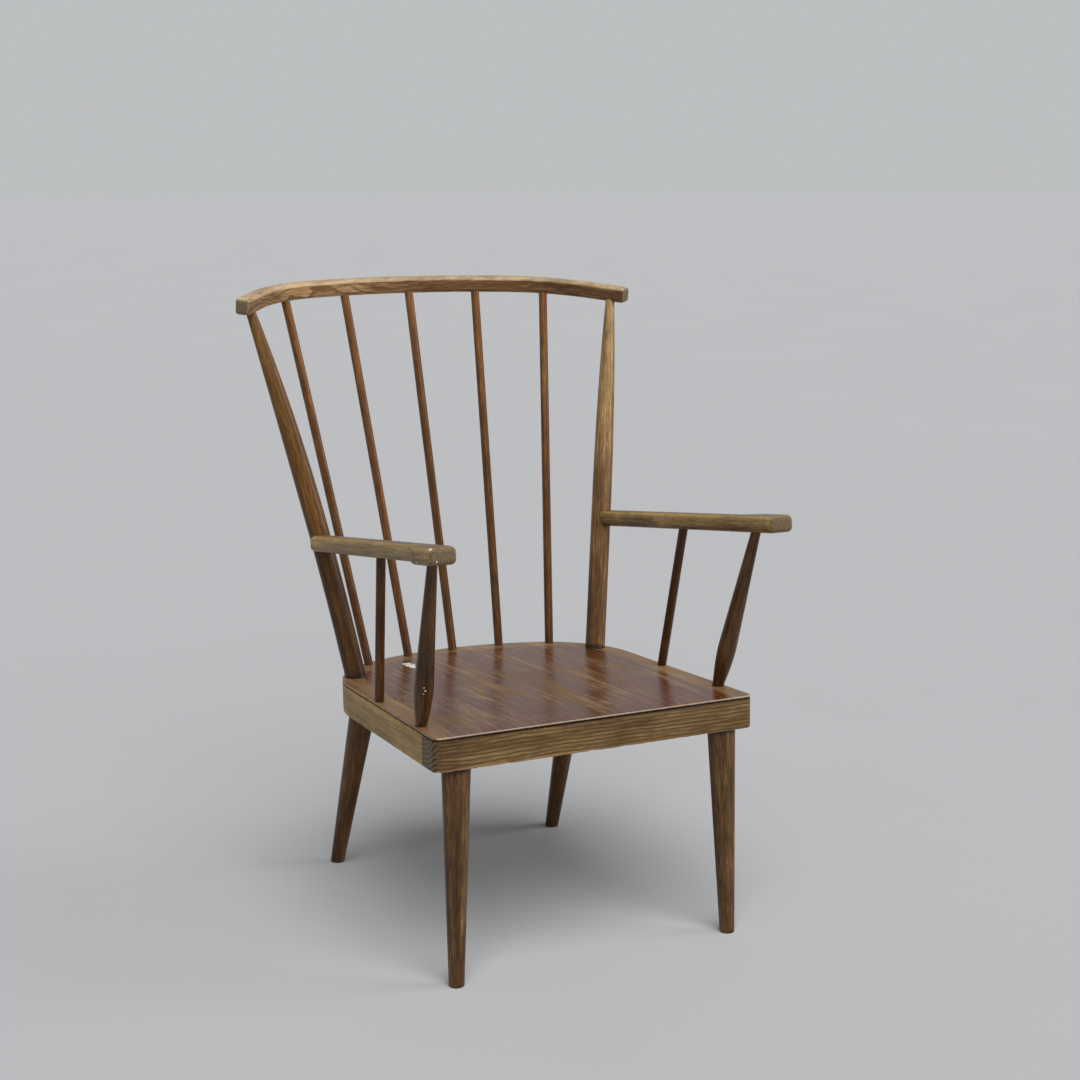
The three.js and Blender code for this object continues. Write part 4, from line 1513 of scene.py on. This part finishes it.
@dataclass
class Arms:
    """The arms: sloping boards with a wider paddle in front, each on a bellied post and a thin spindle.

    Attributes:
        slope: How steeply an arm falls to the back, in radians.
        thickness: Thickness of an arm.
        edge: Radius of its rounded edges.
        underside: Height of its underside where it passes over the front rail's face.
        front: The y of its front end.
        rear: The y of its rear end.
        rear_inner: The x of its inner side at the rear.
        rear_outer: The x of its outer side at the rear.
        front_inner: The x of its inner side at the front.
        neck_outer: The x of its outer side behind the paddle.
        paddle_outer: The x of the paddle's outer side.
        shoulder: The y where the paddle starts to narrow.
        neck: The y where it has narrowed.
        front_corner: Radius of the front corners in plan.
        rear_corner: Radius of the rear corners in plan.
        spindle_seat: Where the right spindle stands on the seat, x and y.
        spindle_top: Where it meets the arm, x and y.
        spindle_radius: Radius of the spindle.
        post_seat: Where the right post stands on the seat, x and y.
        post_top: Where it meets the arm, x and y.
        post_top_radius: Radius of the post's top.
        belly_radius: Radius of its belly.
        foot_radius: Radius of its foot.
        belly_share: Share of its length where the belly is.
        shank: Length of its straight foot and of its straight top.
        sink: How far posts and spindles reach into the seat and the arm.
        cells: Cells along an arm.
        rub: How far from its edges an arm is rubbed.
        top_face: Depth below the top that counts as the top face.
        top_wear: How worn the top face is, below zero for less.
        side_wear_and_shade: How worn the sides are at the bottom and at the top; the fall from a pale top to
            a dark bottom is partly painted shade from overhead light.
        spindle_wear: How worn the spindle is.
        arm_finish: Look of the arms.
        upright_finish: Look of the posts.
    """

    slope: float = math.radians(8.25)
    thickness: float = 25.3 * MM
    edge: float = 7.6 * MM
    underside: float = 617 * MM
    front: float = -55.5 * MM
    rear: float = 470 * MM
    rear_inner: float = 239.5 * MM
    rear_outer: float = 267.5 * MM
    front_inner: float = 245 * MM
    neck_outer: float = 269 * MM
    paddle_outer: float = 287.5 * MM
    shoulder: float = 6 * MM
    neck: float = 50 * MM
    front_corner: float = 9 * MM
    rear_corner: float = 8 * MM
    spindle_seat: Plan = (0.2427, 0.2447)
    spindle_top: Plan = (0.2535, 0.2023)
    spindle_radius: float = 7.1 * MM
    post_seat: Plan = (0.2452, 0.0783)
    post_top: Plan = (0.2584, 0.0027)
    post_top_radius: float = 7.3 * MM
    belly_radius: float = 14 * MM
    foot_radius: float = 8.7 * MM
    belly_share: float = 0.26
    shank: float = 3 * MM
    sink: float = 8 * MM
    cells: int = 70
    rub: float = 7 * MM
    top_face: float = 0.7 * MM
    top_wear: float = -1.0
    side_wear_and_shade: tuple[float, float] = (-0.8, 1.1)
    spindle_wear: float = -0.7
    arm_finish: TimberFinish = TimberFinish(
        name="arm_timber", dark=(98, 74, 36), mid=(142, 114, 62), light=(176, 146, 88), worn=(200, 168, 108),
        rings=0.18, ring_gap=4.5 * MM, patch_level=0.5, patch_share=0.55, edge_share=0.55, flecks=0.7,
        roughness=(0.4, 0.58), coat=0.1,
        end=EndGrain(
            dark=(82, 66, 48), light=(126, 108, 82), pith=(0.262, 0.09), ring=4.5 * MM, ring_share=0.07),
        spots=PaintSpots((
            PaintSpot((-0.2871, -0.3204, 0.6220), 1.3 * MM), PaintSpot((-0.2867, -0.3400, 0.6228), 1.8 * MM),
            PaintSpot((-0.2688, -0.2271, 0.6137), 1.4 * MM), PaintSpot((-0.2761, -0.3846, 0.6309), 1.4 * MM),
            PaintSpot((-0.2832, -0.3781, 0.6478), 3.0 * MM)), tone=(204, 196, 182)))
    upright_finish: TimberFinish = TimberFinish(
        name="arm_post_timber", dark=(48, 31, 14), mid=(79, 51, 24), light=(107, 74, 39), worn=(142, 108, 64),
        rings=0.2, ring_gap=4 * MM, patch_level=0.62, patch_share=0.45, edge_share=0.0, flecks=0.6,
        roughness=(0.34, 0.52), coat=0.1,
        spots=PaintSpots((
            PaintSpot((-0.2542, -0.2846, 0.4313), 1.1 * MM), PaintSpot((-0.2518, -0.2840, 0.4266), 1.7 * MM),
            PaintSpot((-0.2539, -0.2817, 0.4219), 1.2 * MM)), tone=(200, 190, 172)))

    def matrix(self) -> Matrix:
        """Returns the move from an arm's own frame, z = 0 on its underside, to the shared frame."""
        return Matrix.Translation(placed(0.0, 0.0, self.underside)) @ Matrix.Rotation(-self.slope, 4, "X")

    def under(self, x: float, y: float) -> Vector:
        """Returns a point on the arm's underside from its x and y in the chair."""
        return self.matrix() @ Vector((x, y / math.cos(self.slope), 0.0))

    def build(self) -> None:
        """Builds both arms and what they stand on."""
        for side, word in ((-1.0, "left"), (1.0, "right")):
            self.build_arm(side, f"{word}_arm")
            self.build_spindle(side, f"{word}_arm_spindle")
            self.build_post(side, f"{word}_arm_post")

    def outline(self) -> list[Plan]:
        """Draws the right arm's plan.

        Returns:
            Its points in the arm's own frame, from the inner front corner round to the rear.
        """
        stretch = 1 / math.cos(self.slope)
        quarter = math.pi / 2
        front = self.front * stretch + self.front_corner
        rear = self.rear * stretch - self.rear_corner
        shoulder, neck = self.shoulder * stretch, self.neck * stretch
        corner = self.front_corner
        points = arc((self.front_inner + corner, front), corner, 2 * quarter, quarter, steps=8)
        points += arc((self.paddle_outer - corner, front), corner, 3 * quarter, quarter, steps=8)
        steps = 18
        for step in range(steps + 1):
            share = step / steps
            x = self.paddle_outer + (self.neck_outer - self.paddle_outer) * eased(share)
            points.append((x, shoulder + (neck - shoulder) * share))
        points += arc((self.rear_outer - self.rear_corner, rear), self.rear_corner, 0.0, quarter, steps=6)
        points += arc((self.rear_inner + self.rear_corner, rear), self.rear_corner, quarter, quarter, steps=6)
        return points

    def build_arm(self, side: float, node: str) -> None:
        """Builds one arm from its plan, with its edges rounded over.

        Args:
            side: -1 for the left of the chair and 1 for the right.
            node: The CAD node that it stands for.
        """
        points = [(side * x, y) for x, y in self.outline()]
        bm = plate(points, 0.0, self.thickness)
        ease(bm, sharp_edges(bm), self.edge, segments=6)
        slice_up(bm, 1, self.front, self.rear, self.cells)
        piece = Workpiece(bm, seed=30.0 + side)
        piece.mark_grain((0, 2, 1))
        piece.mark_ends(1)

        def nearness(co: Vector) -> float:
            """Returns how near a point is to a rounded edge, from its height alone."""
            low = min(co.z, self.thickness - co.z)
            drop = max(self.edge - low, 0.0)
            inset = self.edge - math.sqrt(max(self.edge ** 2 - drop ** 2, 0.0))
            return 1.0 - max(low, inset) / self.rub

        piece.mark_edges(nearness)

        def worn(co: Vector) -> float:
            """Returns the wear at a height: varnish on top; on the sides, bare below the top edge and dark at
            the bottom, partly wear and partly painted shade from overhead light.
            """
            if co.z > self.thickness - self.top_face:
                return self.top_wear
            # Partly painted shade: the sides darken from the top edge down to the bottom.
            low, high = self.side_wear_and_shade
            return low + (high - low) * co.z / self.thickness

        piece.mark_wear(worn)
        piece.rub(depth=0.5 * MM, size=28 * MM)
        piece.move(self.matrix())
        piece.finish(node, "arm", self.arm_finish)

    def build_spindle(self, side: float, node: str) -> None:
        """Builds the thin spindle under the middle of one arm.

        Args:
            side: -1 for the left of the chair and 1 for the right.
            node: The CAD node that it stands for.
        """
        foot = SEAT.point(side * self.spindle_seat[0], self.spindle_seat[1])
        top = self.under(side * self.spindle_top[0], self.spindle_top[1])
        length = (top - foot).length
        profile = rod(lambda height: self.spindle_radius, -self.sink, length + self.sink, steps=24)
        piece = Workpiece(spun(profile, sides=32), seed=40.0 + side)
        piece.mark_grain()
        piece.mark_wear(lambda co: self.spindle_wear)
        piece.rub(depth=0.35 * MM, size=18 * MM)
        piece.move(along_axis(foot, top))
        piece.finish(node, "turned", Back.spindle_finish)

    def post_width(self, height: float, length: float) -> float:
        """Measures the bellied post.

        Args:
            height: Height up the post.
            length: Its whole length.

        Returns:
            Its radius at that height.
        """
        belly = length * self.belly_share
        if height <= self.shank:
            return self.foot_radius
        if height <= belly:
            share = (height - self.shank) / (belly - self.shank)
            return self.foot_radius + (self.belly_radius - self.foot_radius) * math.sin(share * math.pi / 2)
        share = min((height - belly) / (length - self.shank - belly), 1.0)
        return self.belly_radius + (self.post_top_radius - self.belly_radius) * share

    def build_post(self, side: float, node: str) -> None:
        """Builds the bellied post under the front of one arm.

        Args:
            side: -1 for the left of the chair and 1 for the right.
            node: The CAD node that it stands for.
        """
        foot = SEAT.point(side * self.post_seat[0], self.post_seat[1])
        top = self.under(side * self.post_top[0], self.post_top[1])
        length = (top - foot).length
        steps = 48
        profile: Profile = [(0.0, -self.sink), (self.foot_radius, -self.sink)]
        for step in range(steps + 1):
            height = length * step / steps
            profile.append((self.post_width(height, length), height))
        profile += [(self.post_top_radius, length + self.sink), (0.0, length + self.sink)]
        piece = Workpiece(spun(profile, sides=40), seed=50.0 + side)
        piece.mark_grain()
        piece.rub(depth=0.4 * MM, size=20 * MM)
        piece.move(along_axis(foot, top))
        piece.finish(node, "turned", self.upright_finish)


@dataclass
class Legs:
    """Four turned legs, thick under the rails and slim at the floor.

    Attributes:
        top_radius: Radius under the rails.
        foot_radius: Radius at the floor.
        chamfer: Radius of the foot's rounded rim.
        rail_bottom: Height of the rails' underside over the seat's top face.
        gap: Gap between a leg and the rail.
        front_top: Axis of the right front leg at the rail's underside, x and y.
        front_foot: Its axis at the floor.
        rear_top: Axis of the right rear leg at the rail's underside, x and y.
        rear_foot: Its axis at the floor.
        rub_height: Height where a foot is rubbed most.
        rub_reach: How far from there it is rubbed.
        rail_shadow_reach: How far below the rail a leg starts to get the rail's painted shadow.
        rail_shadow_run: Length in which that painted shadow grows to its full strength.
        floor_contact_shade: How far up from the floor it gets painted contact shade.
        front_finish: Look of the front legs.
        rear_finish: Look of the rear legs.
    """

    top_radius: float = 21.1 * MM
    foot_radius: float = 11.3 * MM
    chamfer: float = 1.6 * MM
    rail_bottom: float = -50.0 * MM
    gap: float = 0.3 * MM
    front_top: Plan = (0.2171, 0.0235)
    front_foot: Plan = (0.2253, 0.0056)
    rear_top: Plan = (0.1897, 0.447)
    rear_foot: Plan = (0.201, 0.551)
    rub_height: float = 2.5 * MM
    rub_reach: float = 4 * MM
    rail_shadow_reach: float = 14 * MM
    rail_shadow_run: float = 16 * MM
    floor_contact_shade: float = 3 * MM
    front_finish: TimberFinish = TimberFinish(
        name="front_leg_timber",
        dark=(62, 40, 22), mid=(96, 68, 39), light=(128, 97, 57), worn=(160, 130, 87),
        rings=0.4, ring_gap=6 * MM, patch_level=0.6, patch_share=0.5, edge_share=0.9, flecks=0.6,
        roughness=(0.4, 0.58), coat=0.06)
    rear_finish: TimberFinish = TimberFinish(
        name="rear_leg_timber", dark=(60, 39, 18), mid=(94, 63, 33), light=(122, 87, 47), worn=(159, 126, 74),
        rings=0.25, ring_gap=6 * MM, patch_level=0.64, patch_share=0.45, edge_share=0.8, flecks=0.6,
        roughness=(0.4, 0.58), coat=0.06)

    def build(self) -> None:
        """Builds the four legs."""
        for side, word in ((-1.0, "left"), (1.0, "right")):
            self.build_leg(side, self.front_top, self.front_foot, f"{word}_front_leg", self.front_finish)
            self.build_leg(side, self.rear_top, self.rear_foot, f"{word}_rear_leg", self.rear_finish)

    def build_leg(self, side: float, top: Plan, foot: Plan, node: str, finish: TimberFinish) -> None:
        """Builds one leg.

        Args:
            side: -1 for the left of the chair and 1 for the right.
            top: Its axis at the rail's underside, x and y.
            foot: Its axis at the floor, x and y.
            node: The CAD node that it stands for.
            finish: The look of its timber.
        """
        head = SEAT.point(side * top[0], top[1], self.rail_bottom)
        base = placed(side * foot[0], foot[1], 0.0)
        length = (head - base).length
        spare = self.top_radius
        swell = (self.top_radius - self.foot_radius) / length
        profile = rod(lambda height: self.foot_radius + swell * height, -spare, length + spare, steps=40)
        piece = Workpiece(spun(profile, sides=48), seed=60.0 + 3 * side + top[1])
        piece.mark_grain()

        def grime_and_contact_shade(co: Vector) -> float:
            """Returns the painted shadow under the rail and the painted contact shade at the floor."""
            rail_shadow = (co.z - length + self.rail_shadow_reach) / self.rail_shadow_run
            return max(rail_shadow, 1.0 - co.z / self.floor_contact_shade)

        piece.mark_edges(lambda co: 1.0 - abs(co.z - self.rub_height) / self.rub_reach)
        # Painted shadow under the rail and painted contact shade at the floor.
        piece.mark_grime_and_shade(grime_and_contact_shade)
        piece.rub(depth=0.4 * MM, size=25 * MM)
        piece.move(along_axis(base, head))
        up = SEAT.point(0, 0, 1.0) - SEAT.point(0, 0, 0.0)
        piece.saw(SEAT.point(0, 0, self.rail_bottom - self.gap), up)
        rim = piece.saw(Vector((0, 0, 0)), Vector((0, 0, -1)))
        ease(piece.bm, rim, self.chamfer, segments=3)
        piece.finish(node, "turned", finish)


@dataclass
class Hardware:
    """The hidden dowels and the arm screws, which keep their CAD shapes."""

    steel: SteelFinish = SteelFinish()
    dowel: DowelFinish = DowelFinish()

    def dress(self) -> None:
        """Gives the CAD solids their finishes."""
        for name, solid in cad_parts.items():
            if name.endswith("_screw"):
                self.paint(solid, self.steel.material())
            elif name.endswith("_dowel"):
                self.paint(solid, self.dowel.material())

    def paint(self, solid: bpy.types.Object, material: bpy.types.Material) -> None:
        """Puts one material on a CAD solid.

        Args:
            solid: The solid's object.
            material: The material that it gets.
        """
        solid.data.materials.clear()
        solid.data.materials.append(material)
        LOG.info("%s: dressed as packed", solid.name)


@dataclass(frozen=True)
class Lamp:
    """A wide, far lamp.

    Attributes:
        name: Name of the lamp.
        direction: The way from the chair to the lamp.
        power: Its strength in watts for each square metre.
        spread: How wide it looks from the chair, in radians.
    """

    name: str
    direction: tuple[float, float, float]
    power: float
    spread: float

    def hang(self, distance: float) -> None:
        """Adds the lamp to the scene.

        Args:
            distance: How far from the chair it hangs, in metres.
        """
        lamp = bpy.data.lights.new(self.name, "SUN")
        lamp.energy = self.power
        lamp.angle = self.spread
        hung = bpy.data.objects.new(self.name, lamp)
        hung.rotation_euler = Vector(self.direction).to_track_quat("Z", "Y").to_euler()
        hung.location = Vector(self.direction) * distance
        bpy.context.scene.collection.objects.link(hung)


@dataclass
class Studio:
    """The plain pale floor, the soft light and the camera.

    Attributes:
        floor_half: Half the floor's width in metres.
        floor_tone: Colour of the floor.
        floor_cloud: How much darker the floor's soft clouds are.
        backdrop_tone: Colour seen past the floor.
        world_tone: Colour of the light from all round.
        lamps: The lamps.
        lamp_distance: How far off a lamp hangs, in metres.
        eye: Place of the camera, with y behind the front rail's face.
        yaw: How far the camera is turned to the right, in radians.
        pitch: How far it looks down, in radians.
        roll: How far it is rolled, in radians.
        focal: Its focal length in the photograph's pixels.
        picture: Width of the photograph in pixels.
        sensor: Width of its sensor in millimetres.
    """

    floor_half: float = 60.0
    floor_tone: Tone = (190, 191, 193)
    floor_cloud: float = 2.0
    backdrop_tone: Tone = (189, 191, 193)
    world_tone: Tone = (113, 114, 115)
    lamps: tuple[Lamp, ...] = (
        Lamp("overhead", (-0.1, -0.55, 0.83), 2.6, math.radians(48)),
        Lamp("right_hand", (0.85, -0.38, 0.4), 0.9, math.radians(30)))
    lamp_distance: float = 3.0
    eye: tuple[float, float, float] = (-1.2624, -2.3431, 1.1471)
    yaw: float = math.radians(26.441)
    pitch: float = math.radians(11.058)
    roll: float = math.radians(0.12)
    focal: float = 1924.7
    picture: float = 1080.0
    sensor: float = 36.0

    def build(self) -> None:
        """Builds the floor, the light and the camera."""
        self.build_floor()
        self.build_light()
        self.build_camera()

    def build_floor(self) -> None:
        """Builds the floor, which keeps the chair's shadow."""
        bm = bmesh.new()
        bmesh.ops.create_grid(bm, x_segments=8, y_segments=8, size=self.floor_half)
        mesh = bpy.data.meshes.new("floor")
        bm.to_mesh(mesh)
        bm.free()
        floor = bpy.data.objects.new("floor", mesh)
        bpy.context.scene.collection.objects.link(floor)
        graph = Graph("pale_floor")
        place = graph.place()
        cloud = graph.noise(place, (1.3, 1.3, 1.3), detail=4)
        low = tuple(value - self.floor_cloud for value in self.floor_tone)
        colour = graph.ramp(cloud, ((0.3, low), (0.7, self.floor_tone)))
        mesh.materials.append(graph.surface({"Base Color": colour, "Roughness": 0.7}))

    def build_light(self) -> None:
        """Builds an even pale surround and hangs the lamps."""
        world = bpy.data.worlds.new("pale_surround")
        world.use_nodes = True
        nodes, links = world.node_tree.nodes, world.node_tree.links
        around = nodes["Background"]
        around.inputs["Color"].default_value = linear(self.world_tone)
        backdrop = nodes.new("ShaderNodeBackground")
        backdrop.inputs["Color"].default_value = linear(self.backdrop_tone)
        ray = nodes.new("ShaderNodeLightPath")
        seen = ray.outputs["Is Camera Ray"]
        for kind in ("Is Transmission Ray", "Is Glossy Ray"):
            either = nodes.new("ShaderNodeMath")
            either.operation = "MAXIMUM"
            links.new(seen, either.inputs[0])
            links.new(ray.outputs[kind], either.inputs[1])
            seen = either.outputs[0]
        pick = nodes.new("ShaderNodeMixShader")
        links.new(seen, pick.inputs[0])
        links.new(around.outputs[0], pick.inputs[1])
        links.new(backdrop.outputs[0], pick.inputs[2])
        links.new(pick.outputs[0], nodes["World Output"].inputs["Surface"])
        bpy.context.scene.world = world
        for lamp in self.lamps:
            lamp.hang(self.lamp_distance)

    def build_camera(self) -> None:
        """Builds the camera at the photograph's place and angle."""
        ahead = Vector((math.sin(self.yaw) * math.cos(self.pitch), math.cos(self.yaw) * math.cos(self.pitch),
                        -math.sin(self.pitch)))
        right = Vector((math.cos(self.yaw), -math.sin(self.yaw), 0.0))
        up = right.cross(ahead)
        across = right * math.cos(self.roll) + up * math.sin(self.roll)
        upright = up * math.cos(self.roll) - right * math.sin(self.roll)
        turn = Matrix((across, upright, -ahead)).transposed().to_4x4()
        camera = bpy.data.cameras.new("camera")
        camera.sensor_width = self.sensor
        camera.lens = self.focal / self.picture * self.sensor
        camera_object = bpy.data.objects.new("camera", camera)
        camera_object.matrix_world = Matrix.Translation(placed(*self.eye)) @ turn
        bpy.context.scene.collection.objects.link(camera_object)
        bpy.context.scene.camera = camera_object


def main() -> None:
    logging.basicConfig(level=logging.INFO, format="%(name)s: %(message)s")
    bpy.context.scene.view_settings.view_transform = "Standard"
    Studio().build()
    SeatFrame().build()
    CREST.build()
    Back().build()
    Arms().build()
    Legs().build()
    Hardware().dress()


if __name__ == "__main__":
    main()
